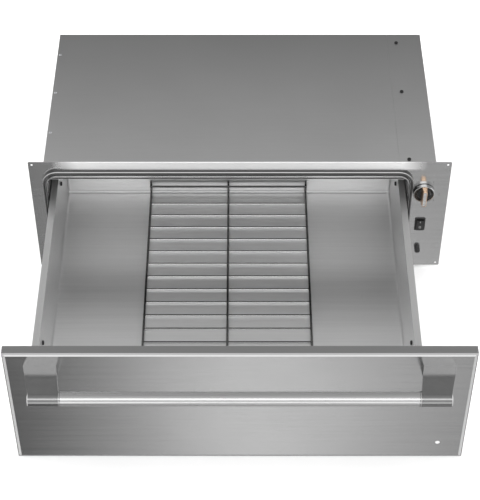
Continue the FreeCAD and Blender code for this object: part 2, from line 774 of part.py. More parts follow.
def ball_row(side, w, y0):
    """A row of balls held in a thin strip that lies along the middle member."""
    x, z = slide_point(side, BALL_CENTRE, w)
    length = (BALL_COUNT - 1) * BALL_PITCH
    reach = BALL_R - BALL_GAP
    strip = box(x - CAGE_T / 2, x + CAGE_T / 2, y0 - CAGE_END, y0 + length + CAGE_END, z - reach, z + reach)
    balls = [Part.makeSphere(BALL_R, V(x, y0 + i * BALL_PITCH, z)) for i in range(BALL_COUNT)]
    return joined([strip] + balls)


def ball_cages(side):
    """Four rows of balls: two run in the fixed member and two in the drawer's member."""
    fixed_w = MID_HALF + BALL_GAP + BALL_R
    drawer_w = INNER_HALF + BALL_GAP + BALL_R
    fixed_y = SLIDE_FRONT + TRAVEL / 2 + 4 * MID_SHORT
    drawer_y = TRAVEL / 2 - SLIDE_FRONT - (BALL_COUNT - 1) * BALL_PITCH - 4 * MID_SHORT
    rows = [ball_row(side, s * fixed_w, fixed_y) for s in (-1, 1)]
    rows += [ball_row(side, s * drawer_w, drawer_y) for s in (-1, 1)]
    return together(rows)


# Controls


def thermostat_body():
    """Control thermostat behind the flange, with a bush through the flange for the shaft."""
    back = THERMOSTAT_DEPTH
    body = rounded_block(CONTROL_X - THERMOSTAT_HALF_W, CONTROL_X + THERMOSTAT_HALF_W, FLANGE_T, back,
                         KNOB_Z - THERMOSTAT_HALF_H, KNOB_Z + THERMOSTAT_HALF_H, BLANKET_R)
    cover = pin_y(THERMOSTAT_COVER_R, CONTROL_X, KNOB_Z, back, back + THERMOSTAT_COVER_T)
    across = THERMOSTAT_HALF_W / 2
    rise = THERMOSTAT_HALF_H - 2
    blades = [blade_y(CONTROL_X + dx, KNOB_Z + dz, back) for dx in (-across, across) for dz in (-rise, rise)]
    bush = pin_y(BUSH_R, CONTROL_X, KNOB_Z, -NUT_T, FLANGE_T)
    solid = joined([body, cover, bush] + blades)
    return solid.cut(pin_y(SHAFT_R + RUN_GAP, CONTROL_X, KNOB_Z, -NUT_T - 1, SHAFT_BACK + 1))


def blade_y(x, z, face):
    """A flat blade terminal that stands out behind a face."""
    return box(x - BLADE_W / 2, x + BLADE_W / 2, face, face + BLADE_L, z - BLADE_T / 2, z + BLADE_T / 2)


def thermostat_nut():
    return hexagon_y(NUT_W, BUSH_R + RUN_GAP, CONTROL_X, KNOB_Z, -NUT_T, 0)


def knob_shaft():
    return pin_y(SHAFT_R, CONTROL_X, KNOB_Z, SHAFT_FRONT, SHAFT_BACK)


def knob_skirt():
    """Dark dished disc that turns with the shaft and hides the nut."""
    bore = SHAFT_R + RUN_GAP
    seat = -NUT_T - 0.5
    profile = [(bore, seat), (SKIRT_BORE, seat), (SKIRT_BORE, KNOB_BACK), (RING_INNER, KNOB_BACK),
               (RING_INNER, SKIRT_FRONT + 0.8), (RING_INNER - 1.5, SKIRT_FRONT + 0.8),
               (RING_INNER - 4, SKIRT_FRONT + 1.6), (SKIRT_BOSS, SKIRT_FRONT), (bore, SKIRT_FRONT)]
    return turned_y(profile, CONTROL_X, KNOB_Z)


def knob_ring():
    """Bright ring round the skirt."""
    ring = turned_y([(RING_INNER, KNOB_BACK), (KNOB_R, KNOB_BACK), (KNOB_R, SKIRT_FRONT),
                     (RING_INNER, SKIRT_FRONT)], CONTROL_X, KNOB_Z)
    crown = edges_at(ring, lambda b: b.YMax < SKIRT_FRONT + 0.01)
    return ring.makeFillet(RING_EDGE, crown)


def knob_grip():
    """Bar grip, wider at its root than at its front, socketed over the shaft."""
    wide = grip_outline(GRIP_W + 2 * GRIP_FLARE, GRIP_L - 2, SKIRT_FRONT)
    narrow = grip_outline(GRIP_W, GRIP_L, -KNOB_DEPTH)
    bar = Part.makeLoft([wide, narrow], True)
    front = edges_at(bar, lambda b: b.YMax < 0.01 - KNOB_DEPTH)
    bar = bar.makeFillet(GRIP_EDGE, front)
    return bar.cut(pin_y(SHAFT_R + RUN_GAP, CONTROL_X, KNOB_Z, SHAFT_FRONT - 0.2, SKIRT_FRONT + 1))


def grip_outline(width, length, y):
    """A bar's outline with rounded corners, as a wire in the plane at y."""
    block = rounded_block(CONTROL_X - width / 2, CONTROL_X + width / 2, y, y + 1,
                          KNOB_Z - length / 2, KNOB_Z + length / 2, width * 0.3)
    faces = [f for f in block.Faces if f.BoundBox.YMax < y + 0.01]
    return faces[0].OuterWire


def switch_block(grow, y0, y1):
    half_w = SWITCH_W / 2 - SWITCH_RIM_W + grow
    half_h = SWITCH_H / 2 - SWITCH_RIM_H + grow
    return box(CONTROL_X - half_w, CONTROL_X + half_w, y0, y1, SWITCH_Z - half_h, SWITCH_Z + half_h)


def switch_housing():
    """Snap-in switch body: a bezel on the flange, the box behind it and three blade terminals."""
    bezel = rounded_block(CONTROL_X - SWITCH_W / 2, CONTROL_X + SWITCH_W / 2, SWITCH_FRONT, 0,
                          SWITCH_Z - SWITCH_H / 2, SWITCH_Z + SWITCH_H / 2, 2.5)
    front = edges_at(bezel, lambda b: b.YMax < SWITCH_FRONT + 0.01)
    bezel = bezel.makeFillet(1.0, front)
    body = switch_block(0, 0, SWITCH_BACK)
    blades = [blade_y(CONTROL_X, SWITCH_Z + dz, SWITCH_BACK) for dz in (-BLADE_L, 0, BLADE_L)]
    half_w = KEY_HALF_W + KEY_GAP_W
    half_h = KEY_HALF_H + KEY_GAP_H
    well = box(CONTROL_X - half_w, CONTROL_X + half_w, SWITCH_FRONT - 1, SWITCH_BACK - BLADE_L,
               SWITCH_Z - half_h, SWITCH_Z + half_h)
    reach = SWITCH_W / 2 - PIVOT_WALL
    pivot = pin_x(PIVOT_R + RUN_GAP, PIVOT_Y, SWITCH_Z, CONTROL_X - reach, CONTROL_X + reach)
    return joined([bezel, body] + blades).cut(well).cut(pivot)


def rocker_key():
    """Rocker with a bent face, on its own pivot pins, thrown to its rest side."""
    h = KEY_HALF_H
    outline = [(-KEY_TIP, h), (-KEY_DIP, h / 3), (-KEY_TIP, -h), (0.5, KEY_TAPER - h), (6.0, -5.0), (6.0, 5.0),
               (0.5, h - KEY_TAPER)]
    key = prism_x([(y, SWITCH_Z + z) for y, z in outline], CONTROL_X - KEY_HALF_W, CONTROL_X + KEY_HALF_W)
    front = edges_at(key, lambda b: b.XLength > 1 and b.YMax < -5)
    key = key.makeFillet(0.8, front)
    reach = SWITCH_W / 2 - PIVOT_WALL - 0.2
    key = joined([key, pin_x(PIVOT_R, PIVOT_Y, SWITCH_Z, CONTROL_X - reach, CONTROL_X + reach)])
    key.rotate(V(CONTROL_X, PIVOT_Y, SWITCH_Z), V(1, 0, 0), -SWITCH_THROW / 2)
    return key


def lamp_body():
    """Indicator lamp's black holder, through the flange."""
    mouth = LENS_SEAT - LAMP_OUT
    profile = [(0, LAMP_BACK), (STEM_R, LAMP_BACK), (STEM_R, 0), (LAMP_R, 0), (LAMP_R, 0.8 - LAMP_OUT),
               (LAMP_R - 0.8, -LAMP_OUT), (LENS_R, -LAMP_OUT), (LENS_R, mouth), (0, mouth)]
    return turned_y(profile, CONTROL_X, LAMP_Z)


def lamp_lens():
    """Domed lens in the lamp's mouth."""
    tip = -LAMP_OUT - LENS_OUT
    lens = pin_y(LENS_R, CONTROL_X, LAMP_Z, tip, LENS_SEAT - LAMP_OUT)
    front = edges_at(lens, lambda b: b.YMax < tip + 0.1)
    return lens.makeFillet(1.4, front)


def lamp_nut():
    return hexagon_y(LAMP_NUT_W, STEM_R + RUN_GAP, CONTROL_X, LAMP_Z, FLANGE_T, FLANGE_T + NUT_T)


def terminal_block():
    """Three-pole terminal block on the rear panel, inside the control bay."""
    back = CASING_DEPTH - SHEET
    high = BLOCK_Z + BLOCK_H
    step = high - BLOCK_STEP
    outline = [(back - BLOCK_L, BLOCK_Z), (back, BLOCK_Z), (back, high), (back - 8, high), (back - 10, step),
               (back - BLOCK_L + 4, step), (back - BLOCK_L, high - 9)]
    block = prism_x(outline, BLOCK_X0, BLOCK_X0 + BLOCK_W)
    for x, y in pole_places():
        block = block.cut(pin_z(BLOCK_WELL_R, x, y, high - BLOCK_WELL_DEPTH, high + 1))
    for i in range(1, BLOCK_POLES):
        x = BLOCK_X0 + i * BLOCK_W / BLOCK_POLES
        block = block.fuse(box(x - BLOCK_FIN / 2, x + BLOCK_FIN / 2, back - BLOCK_L, back - 8, high - 9,
                               high))
    return block.removeSplitter()


def pole_places():
    pitch = BLOCK_W / BLOCK_POLES
    return [(BLOCK_X0 + pitch * (i + 0.5), CASING_DEPTH - SHEET - 16) for i in range(BLOCK_POLES)]


def terminal_screws():
    low = BLOCK_Z + BLOCK_H - BLOCK_WELL_DEPTH
    return together([pin_z(BLOCK_WELL_R - 0.2, x, y, low, low + 2.6) for x, y in pole_places()])


def cord_gland():
    """Strain-relief bush in the rear panel, with its mouth clear for a cord."""
    face = CASING_DEPTH
    inside = face - GLAND_BACK
    outside = face + GLAND_FRONT
    profile = [(GLAND_BORE, inside), (GLAND_R - 2, inside), (GLAND_R, inside + 3), (GLAND_R, face),
               (GLAND_R + GLAND_LIP, face), (GLAND_R + GLAND_LIP, face + 2), (GLAND_R - 1, outside),
               (GLAND_BORE, outside)]
    return turned_y(profile, GLAND_X, GLAND_Z)


# Drawer, drawn shut


def drawer_pan():
    """Pressed pan with a flat rim over the slides and a back that leans in under the sloping roof."""
    front = PANEL_REAR
    back = PAN_BACK + SHEET
    under = PAN_FLOOR - SHEET
    top = PAN_RIM
    outer = prism_x(side_outline(front, back, under, top, PAN_INSET),
                    DRAWER_X - WALL_HALF, DRAWER_X + WALL_HALF)
    outer = round_pan(outer, BEND_R + SHEET, under)
    inner = prism_x(side_outline(front + SHEET, PAN_BACK, PAN_FLOOR, top - SHEET, PAN_INSET + SHEET),
                    DRAWER_X - PAN_HALF, DRAWER_X + PAN_HALF)
    inner = round_pan(inner, BEND_R, PAN_FLOOR)
    mouth_back = slope_y(top, PAN_INSET) - 2 * SHEET
    mouth = box(DRAWER_X - PAN_HALF, DRAWER_X + PAN_HALF, front + SHEET, mouth_back, top - 2 * SHEET, top + 1)
    rim_back = slope_y(top, PAN_INSET + SHEET)
    rim = box(DRAWER_X - RIM_HALF, DRAWER_X + RIM_HALF, front, rim_back, top - SHEET, top)
    lips = [box(x, x + SHEET, front, rim_back - RIM_LIP, top - RIM_LIP, top)
            for x in (DRAWER_X - RIM_HALF, DRAWER_X + RIM_HALF - SHEET)]
    pan = joined([outer, rim] + lips).cut(inner).cut(mouth)
    for side, y, z in pan_screw_places():
        x = DRAWER_X + side * PAN_HALF
        pan = pan.cut(pin_x(FASTENER_R + HOLE_GAP, y, z, x - side, x + side * (SHEET + 1)))
    return pan


def round_pan(block, radius, floor):
    """Rounds the floor's edges and the upright corners of a pan blank."""
    edges = edges_at(block, lambda b: b.ZMax < floor + 0.01 or
                     (b.ZMin < floor + 0.01 and b.XLength < 0.01 and b.YLength < 0.01))
    return block.makeFillet(radius, edges)


def pan_screw_places():
    """Side, depth and height of each screw that holds the pan to a slide."""
    depths = (SLIDE_FRONT + PAN_SCREW_IN[0], INNER_REAR - PAN_SCREW_IN[1])
    return [(side, y, SLIDE_Z + rise) for side in (-1, 1) for y, rise in zip(depths, PAN_SCREW_RISE)]


def pan_screws():
    """Screws from inside the pan into the drawer's slide members."""
    return together([fastener(V(DRAWER_X + side * PAN_HALF, y, z), V(-side, 0, 0), PAN_HEAD_R, PAN_SHANK,
                              PAN_HEAD_H) for side, y, z in pan_screw_places()])


def door_skin():
    """Front panel's outer sheet: a shallow tray with bevelled front edges, open at the back."""
    outer = bevelled(PANEL_HALF, PANEL_FRONT, PANEL_REAR, PANEL_BOTTOM, PANEL_TOP)
    inner = bevelled(PANEL_HALF - SKIN_T, PANEL_FRONT + SKIN_T, PANEL_REAR + 1, PANEL_BOTTOM + SKIN_T,
                     PANEL_TOP - SKIN_T)
    through = (PANEL_FRONT - 1, PANEL_FRONT + 2 * SKIN_T)
    skin = outer.cut(inner).cut(pin_y(WINDOW_R + HOLE_GAP, WINDOW_X, WINDOW_Z, *through))
    for x, z in handle_screw_places():
        skin = skin.cut(pin_y(POST_SCREW_R + HOLE_GAP, x, z, *through))
    return skin


def bevelled(half, front, rear, bottom, top):
    """A slab whose front face is smaller all round, so that its front edges slope."""
    body = box(-half, half, front + BEVEL_D, rear, bottom, top)
    back = Part.makePolygon([V(-half, front + BEVEL_D, bottom), V(half, front + BEVEL_D, bottom),
                             V(half, front + BEVEL_D, top), V(-half, front + BEVEL_D, top),
                             V(-half, front + BEVEL_D, bottom)])
    w = BEVEL_W
    face = Part.makePolygon([V(w - half, front, bottom + w), V(half - w, front, bottom + w),
                             V(half - w, front, top - w), V(w - half, front, top - w),
                             V(w - half, front, bottom + w)])
    return body.fuse(Part.makeLoft([back, face], True, True)).removeSplitter()


def door_inner():
    """Rear sheet of the front panel, set into the skin, with a window for the control pocket."""
    inset = SKIN_T + INNER_GAP
    sheet = box(inset - PANEL_HALF, PANEL_HALF - inset, PANEL_REAR - INNER_T, PANEL_REAR,
                PANEL_BOTTOM + inset, PANEL_TOP - inset)
    return sheet.cut(pocket_block(0, PANEL_REAR - 2 * INNER_T, PANEL_REAR + 1))


def pocket_block(inset, y0, y1):
    return rounded_block(POCKET_X0 + inset, POCKET_X1 - inset, y0, y1,
                         POCKET_BOTTOM + inset, POCKET_TOP - inset, POCKET_R - inset)


def control_pocket():
    """Moulded pocket in the panel that the knob, switch and lamp stand in when the drawer is shut."""
    floor = PANEL_FRONT + SKIN_T
    outer = pocket_block(INNER_GAP, floor, PANEL_REAR)
    pocket = outer.cut(pocket_block(POCKET_T, floor + POCKET_T, PANEL_REAR + 1))
    hole = WINDOW_R + WINDOW_LIP + HOLE_GAP
    return pocket.cut(pin_y(hole, WINDOW_X, WINDOW_Z, floor - 1, floor + 2 * POCKET_T))


def light_window():
    """Clear plug that shows the lamp through the closed front."""
    seat = PANEL_FRONT + SKIN_T
    back = seat + 2
    profile = [(0, PANEL_FRONT - 0.3), (WINDOW_R - 0.8, PANEL_FRONT - 0.3), (WINDOW_R, PANEL_FRONT + 0.3),
               (WINDOW_R, seat), (WINDOW_R + WINDOW_LIP, seat), (WINDOW_R + WINDOW_LIP, back), (0, back)]
    return turned_y(profile, WINDOW_X, WINDOW_Z)


def door_insulation():
    """Blanket that fills the front panel beside the pocket."""
    margin = SKIN_T + BEVEL_W
    front = PANEL_FRONT + SKIN_T + BLANKET_GAP
    rear = PANEL_REAR - INNER_T - BLANKET_GAP
    slab = rounded_block(margin - PANEL_HALF, POCKET_X0 - 2, front, rear,
                         PANEL_BOTTOM + margin, PANEL_TOP - margin, BLANKET_R)
    for x, z in handle_screw_places():
        slab = slab.cut(pin_y(POST_HEAD_R + 1, x, z, PANEL_FRONT, PANEL_REAR))
    return slab


def handle_screw_places():
    places = (POST_IN + POST_SCREW_IN, POST_OUT - POST_SCREW_IN)
    return [(s * x, HANDLE_Z + POST_SCREW_RISE) for s in (-1, 1) for x in places]


def handle_post(side):
    """Cast post and end cap in one: it tapers from the panel to a round end that holds the bar."""
    foot = [(side * POST_IN, PANEL_FRONT), (side * POST_OUT, PANEL_FRONT),
            (side * (CAP_OUT - CAP_BEVEL), HANDLE_Y), (side * CAP_IN, HANDLE_Y)]
    post = prism_z(foot, HANDLE_Z - CAP_R, HANDLE_Z + CAP_R)
    cap = pin_x(CAP_R, HANDLE_Y, HANDLE_Z, side * CAP_IN, side * CAP_OUT)
    end = edges_at(cap, lambda b: b.XLength < 0.01 and abs(abs(b.XMin) - CAP_OUT) < 0.01)
    body = joined([post, cap.makeChamfer(CAP_BEVEL, end)])
    socket = pin_x(BAR_R + RUN_GAP, HANDLE_Y, HANDLE_Z, side * (CAP_IN - 1), side * (CAP_IN + BAR_SPIGOT))
    body = body.cut(socket)
    for x, z in handle_screw_places():
        deep = PANEL_FRONT - POST_SCREW_L - BAR_END_GAP
        body = body.cut(pin_y(POST_SCREW_R + RUN_GAP, x, z, deep, PANEL_FRONT + 1))
    return body


def handle_bar():
    """Tube with its ends in the posts."""
    reach = CAP_IN + BAR_SPIGOT - BAR_END_GAP
    bar = pin_x(BAR_R, HANDLE_Y, HANDLE_Z, -reach, reach)
    return bar.cut(pin_x(BAR_R - BAR_WALL, HANDLE_Y, HANDLE_Z, -reach - 1, reach + 1))


def handle_screws():
    """Screws from inside the panel into the posts."""
    seat = PANEL_FRONT + SKIN_T
    screws = []
    for x, z in handle_screw_places():
        top = seat + POST_HEAD_H
        screws.append(turned_y([(0, PANEL_FRONT - POST_SCREW_L), (POST_SCREW_R, PANEL_FRONT - POST_SCREW_L),
                                (POST_SCREW_R, seat), (POST_HEAD_R, seat), (POST_HEAD_R, seat + HEAD_H),
                                (POST_HEAD_R * HEAD_FLAT, top), (0, top)], x, z))
    return together(screws)


def wire_rack():
    """Welded rack: three long wires with upturned ends on top of a ladder of cross wires."""
    back = PAN_BACK - RACK_BACK_GAP - WIRE_R
    low = PAN_FLOOR + WIRE_R
    step = 2 * WIRE_R + WELD_GAP
    high = low + step
    rungs = int((back - PANEL_REAR - RACK_FRONT_GAP) / RACK_PITCH)
    front = back - rungs * RACK_PITCH
    wires = []
    for x in (RACK_X - RACK_W / 2, RACK_X, RACK_X + RACK_W / 2):
        top = high + RACK_RISE
        route = [V(x, front, top), V(x, front, high), V(x, back, high), V(x, back, top)]
        wires.append(bent_tube(route, WIRE_R, RACK_BEND))
    reach = RACK_W / 2 + WIRE_R
    for i in range(1, rungs):
        wires.append(pin_x(WIRE_R, front + i * RACK_PITCH, low, RACK_X - reach, RACK_X + reach))
    for y in (front + step, back - step):
        wires.append(pin_x(WIRE_R, y, high + RACK_RISE * END_WIRE, RACK_X - reach, RACK_X + reach))
    return together(wires)


# Saving


def save(name, shape, pull=0.0):
    """Writes one node, moved to the origin and, for the drawer's pieces, pulled forward."""
    shape.translated(V(0, -pull, 0) - ORIGIN).exportStep("parts/" + name + ".step")


def main():
    os.makedirs("parts", exist_ok=True)
    fixed = {
        "face_flange": face_flange(), "casing_shell": casing_shell(), "top_cover": top_cover(),
        "bay_cover": bay_cover(), "bay_rail": bay_rail(), "rear_panel": rear_panel(),
        "rear_screws": rear_screws(), "cover_screws": cover_screws(), "cover_rivets": cover_rivets(),
        "cavity_liner": cavity_liner(), "insulation_top": insulation_top(),
        "insulation_bottom": insulation_bottom(), "heating_element": heating_element(),
        "element_plate": element_plate(), "element_pins": element_pins(), "element_clips": element_clips(),
        "thermal_cutout": thermal_cutout(), "door_seal": door_seal(), "thermostat_body": thermostat_body(),
        "thermostat_nut": thermostat_nut(), "switch_housing": switch_housing(), "lamp_body": lamp_body(),
        "lamp_lens": lamp_lens(), "lamp_nut": lamp_nut(), "terminal_block": terminal_block(),
        "terminal_screws": terminal_screws(), "cord_gland": cord_gland(),
        "knob_shaft": knob_shaft(), "knob_skirt": knob_skirt(), "knob_ring": knob_ring(),
        "knob_grip": knob_grip(), "rocker_key": rocker_key(),
    }
    drawer = {
        "drawer_pan": drawer_pan(), "pan_screws": pan_screws(), "door_skin": door_skin(),
        "door_inner": door_inner(), "control_pocket": control_pocket(), "light_window": light_window(),
        "door_insulation": door_insulation(), "handle_bar": handle_bar(), "handle_screws": handle_screws(),
        "wire_rack": wire_rack(),
    }
    for name, shape in fixed.items():
        save(name, shape)
    for name, shape in drawer.items():
        save(name, shape, TRAVEL)
    for word, side in (("left", -1), ("right", 1)):
        save("slide_outer_" + word, slide_outer(side))
        save("slide_middle_" + word, slide_middle(side), TRAVEL / 2)
        save("ball_cages_" + word, ball_cages(side), TRAVEL / 2)
        save("slide_inner_" + word, slide_inner(side), TRAVEL)
        save("handle_post_" + word, handle_post(side), TRAVEL)


main()
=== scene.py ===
# %% [markdown]
# # A built-in warming drawer, standing open
# The drawer is a sheet metal box on telescopic slides, behind a brushed steel front with a tube handle.
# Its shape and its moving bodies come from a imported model, which this lesson loads as a fixed frame.
# What is left for Blender is what the eye sees first: the finishes, the small fasteners, the gasket and
# the knob. Everything is in metres, and a piece goes straight to where it belongs.

# %% Load the frame
import math
from collections import namedtuple

import bmesh
import bpy
from mathutils import Matrix, Vector


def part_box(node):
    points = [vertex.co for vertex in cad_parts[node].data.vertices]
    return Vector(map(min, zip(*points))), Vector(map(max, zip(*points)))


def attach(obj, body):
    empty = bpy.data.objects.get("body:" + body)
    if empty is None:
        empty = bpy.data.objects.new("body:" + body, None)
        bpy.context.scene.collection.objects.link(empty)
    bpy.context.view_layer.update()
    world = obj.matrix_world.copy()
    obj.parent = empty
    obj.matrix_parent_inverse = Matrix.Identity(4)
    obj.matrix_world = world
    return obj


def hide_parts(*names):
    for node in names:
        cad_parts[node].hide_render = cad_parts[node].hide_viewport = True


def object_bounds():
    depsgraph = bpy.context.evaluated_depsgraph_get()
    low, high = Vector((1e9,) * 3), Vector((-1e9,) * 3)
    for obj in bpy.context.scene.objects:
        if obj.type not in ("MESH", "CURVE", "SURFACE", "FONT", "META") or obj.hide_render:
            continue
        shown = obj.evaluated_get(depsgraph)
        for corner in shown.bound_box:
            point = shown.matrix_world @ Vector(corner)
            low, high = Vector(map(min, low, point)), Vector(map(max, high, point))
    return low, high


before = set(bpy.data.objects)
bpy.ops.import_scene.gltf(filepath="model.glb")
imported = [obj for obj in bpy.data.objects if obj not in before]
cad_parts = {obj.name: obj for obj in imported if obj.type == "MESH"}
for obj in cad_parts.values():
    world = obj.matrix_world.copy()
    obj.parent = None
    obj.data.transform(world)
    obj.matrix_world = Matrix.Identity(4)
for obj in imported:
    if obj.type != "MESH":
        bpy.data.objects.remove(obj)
cad_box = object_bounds()
MM = 0.001

# %% [markdown]
# ## Shader maths as Python
# A finish is a small graph of nodes. Wiring each Math node by hand hides the idea, so a socket is
# wrapped in a class whose operators add the nodes. `1 - mask * 0.5` then reads as it would on paper.

# %% A number in a node tree


class Number:
    """A node's output that can be added, scaled and compared in Python."""

    def __init__(self, tree, socket):
        self.tree = tree
        self.socket = socket

    def math(self, operation, first, second=0.0):
        node = self.tree.nodes.new("ShaderNodeMath")
        node.operation = operation
        for place, value in enumerate((first, second)):
            if isinstance(value, Number):
                self.tree.links.new(value.socket, node.inputs[place])
            else:
                node.inputs[place].default_value = value
        return Number(self.tree, node.outputs[0])

    def __add__(self, other):
        return self.math("ADD", self, other)

    def __radd__(self, other):
        return self.math("ADD", other, self)

    def __sub__(self, other):
        return self.math("SUBTRACT", self, other)

    def __rsub__(self, other):
        return self.math("SUBTRACT", other, self)

    def __mul__(self, other):
        return self.math("MULTIPLY", self, other)

    def __rmul__(self, other):
        return self.math("MULTIPLY", other, self)

    def __truediv__(self, other):
        return self.math("DIVIDE", self, other)

    def __mod__(self, other):
        return self.math("MODULO", self, other)

    def above(self, other):
        return self.math("GREATER_THAN", self, other)

    def at_least(self, other):
        return self.math("MAXIMUM", self, other)

    def at_most(self, other):
        return self.math("MINIMUM", self, other)

    def size(self):
        return self.math("ABSOLUTE", self)

    def angle(self, beside):
        """The angle of the direction that goes this far up for that far beside."""
        return self.math("ARCTAN2", self, beside)

    def ramp(self, zero_at, one_at):
        """Runs from 0 to 1 between two values, and stays there beyond them."""
        return ((self - zero_at) / (one_at - zero_at)).at_least(0.0).at_most(1.0)


print("a number in a node tree can now be worked with in Python")

# %% [markdown]
# A finish then needs one more tool: a way to add any other node with its settings and its inputs. The
# Principled shader does the rest. Values that are the same all over sit on its own sockets.

# %% A finish and its nodes


class Graph:
    """A node tree, and one short way to add any node to it."""

    def __init__(self, tree):
        self.tree = tree

    def node(self, kind, settings=None, **inputs):
        """Adds a node: its settings first, then a value or a link for each named socket."""
        node = self.tree.nodes.new(kind)
        for key, value in (settings or {}).items():
            if key == "stops":
                self.set_stops(node, value)
            else:
                setattr(node, key, value)
        for key, value in inputs.items():
            self.feed(node.inputs[key.replace("_", " ")], value)
        return node

    def set_stops(self, node, stops):
        """Gives a colour ramp its stops, each a place from 0 to 1 and a level of grey."""
        ramp = node.color_ramp.elements
        while len(ramp) < len(stops):
            ramp.new(0.5)
        for element, (where, shade) in zip(ramp, stops):
            element.position = where
            element.color = (shade, shade, shade, 1.0)

    def feed(self, socket, value):
        if isinstance(value, Number):
            value = value.socket
        if isinstance(value, bpy.types.NodeSocket):
            self.tree.links.new(value, socket)
        else:
            socket.default_value = value

    def number(self, socket):
        return Number(self.tree, socket)


class Finish(Graph):
    """A material with a Principled shader, and short ways to add what feeds it."""

    def __init__(self, name, colour, metallic=0.0, roughness=0.5, **sockets):
        self.material = bpy.data.materials.new(name)
        self.material.use_nodes = True
        super().__init__(self.material.node_tree)
        self.shader = self.tree.nodes["Principled BSDF"]
        self.place = self.node("ShaderNodeTexCoord").outputs["Object"]
        self.drive(Base_Color=(*colour, 1.0), Metallic=metallic, Roughness=roughness, **sockets)

    def drive(self, **inputs):
        """Feeds the shader's own sockets."""
        for key, value in inputs.items():
            self.feed(self.shader.inputs[key.replace("_", " ")], value)

    def noise(self, scale, detail=2.0, rough=0.5):
        """Noise about 0.5. A single scale is even, and three scales make streaks."""
        where = self.place
        if isinstance(scale, tuple):
            where = self.node("ShaderNodeMapping", Vector=where, Scale=scale).outputs[0]
            scale = 1.0
        node = self.node("ShaderNodeTexNoise", Vector=where, Scale=scale, Detail=detail, Roughness=rough)
        return self.number(node.outputs[0])

    def axis(self, letter):
        parts = self.node("ShaderNodeSeparateXYZ", Vector=self.place)
        return self.number(parts.outputs[letter])

    def shades(self, mask, dark, light):
        """A colour between two, by a mask. Each of the two is a colour or a link."""
        mix = self.node("ShaderNodeMix", {"data_type": "RGBA"}, Factor=mask)
        for place, colour in ((6, dark), (7, light)):
            self.feed(mix.inputs[place], (*colour, 1.0) if isinstance(colour, tuple) else colour)
        return mix.outputs[2]

    def bumped(self, height, strength, distance):
        bump = self.node("ShaderNodeBump", Height=height, Strength=strength, Distance=distance)
        self.drive(Normal=bump.outputs[0])


def grey(value):
    return (value, value, value)


print("shader helpers ready")

# %% [markdown]
# ## Brushed steel
# The front, the flange and the pan are stainless steel, brushed in one direction. The brushing is
# thousands of fine parallel scratches: they blur a reflection across their length and leave it sharper
# along it. An image of scratches would tile, so a noise is stretched along the brushing instead. One
# fine set tilts the surface, and one broad set shifts the shade and the roughness a little, as rolled
# sheet does. Where a sheet is folded over, its edge takes the light in another way than its face, and
# that light and shade is painted on: a top band and sides get a tone of their own, told apart by place,
# as a painted highlight or painted shade, and a sheet's rear may get a painted shadow.

# %% The brushed finish
SCRATCHES = (14.0, 1300.0, 1300.0)  # the noise's scale along X, Y and Z: low means drawn out
SCRATCH_SHADE = 0.8
SCRATCH_DEPTH = 0.2 * MM
ROLL_BANDS = (2.5, 170.0, 170.0)
BAND_SHADE = 1.6
BAND_ROUGH = 0.08
CLOUDS = 5.0
CLOUD_ROUGH = 0.06
END_FADE = 45 * MM
# The tone of the painted shadow behind a sheet's face.
REAR_SHADOW_TONE = 0.12

# A top band and sides whose tone is painted light or shade.
Top = namedtuple("Top", "low high tone duller metallic half")
PaintedSides = namedtuple("PaintedSides", "middle half tone")


def brushed_steel(name, tone, roughness, scratch=0.25, streak=0.06, metallic=1.0, top=None, sides=None,
                  shadow_behind=None):
    """Steel brushed along X. A painted top band, painted sides and a painted shadow at the rear are added
    where they are given.
    """
    finish = Finish(name, grey(tone), metallic=metallic, roughness=roughness)
    scratches = finish.noise(SCRATCHES, detail=3.0)
    bands = finish.noise(ROLL_BANDS, detail=4.0, rough=0.65) - 0.5
    clouds = finish.noise(CLOUDS) - 0.5
    rough = roughness + bands * BAND_ROUGH + clouds * CLOUD_ROUGH
    shade = 0.5 + bands * BAND_SHADE + (scratches - 0.5) * SCRATCH_SHADE
    steel = finish.shades(shade, grey(tone * (1 - streak)), grey(tone * (1 + streak)))
    # The sides get a painted shade.
    if sides:
        painted_sides_mask = (finish.axis("X") - sides.middle).size().above(sides.half)
        steel = finish.shades(painted_sides_mask, steel, grey(sides.tone))
    # The top band is painted light or shade: a painted highlight where its tone is lighter, painted shade
    # where darker.
    if top:
        band = finish.axis("Z").ramp(top.low, top.high)
        band = band * finish.axis("X").size().ramp(top.half, top.half - END_FADE)
        rough = rough + band * top.duller
        steel = finish.shades(band, steel, grey(top.tone))
        finish.drive(Metallic=metallic - band * (metallic - top.metallic))
    # A painted shadow behind the sheet's face.
    if shadow_behind:
        steel = finish.shades(finish.axis("Y").above(shadow_behind), steel, grey(REAR_SHADOW_TONE))
    finish.drive(Roughness=rough, Base_Color=steel)
    finish.bumped(scratches, scratch, SCRATCH_DEPTH)
    return finish.material


# The front's top face and its cut sides are painted darker: painted shade.
front_steel = brushed_steel(
    "front_steel", 0.56, 0.2, scratch=0.18,
    top=Top(low=128.2 * MM, high=128.8 * MM, tone=0.42, duller=0.1, metallic=1.0, half=500 * MM),
    sides=PaintedSides(middle=0.0, half=376.6 * MM, tone=0.1))
# The flange's upper band is a painted highlight, lighter and less metallic, and its rear is a painted shadow.
flange_steel = brushed_steel(
    "flange_steel", 0.68, 0.2,
    top=Top(low=113 * MM, high=118 * MM, tone=0.95, duller=0.25, metallic=0.25, half=335 * MM),
    shadow_behind=1.6 * MM)
# The pan's rim top and its side walls are painted darker: painted shade.
pan_steel = brushed_steel(
    "pan_steel", 0.75, 0.33, streak=0.05, metallic=0.88,
    top=Top(low=43.2 * MM, high=44.4 * MM, tone=0.5, duller=0.2, metallic=0.85, half=500 * MM),
    sides=PaintedSides(middle=-21.5 * MM, half=321.5 * MM, tone=0.55))
bar_steel = brushed_steel("bar_steel", 0.68, 0.27, scratch=0.2)
print("four brushed steels")

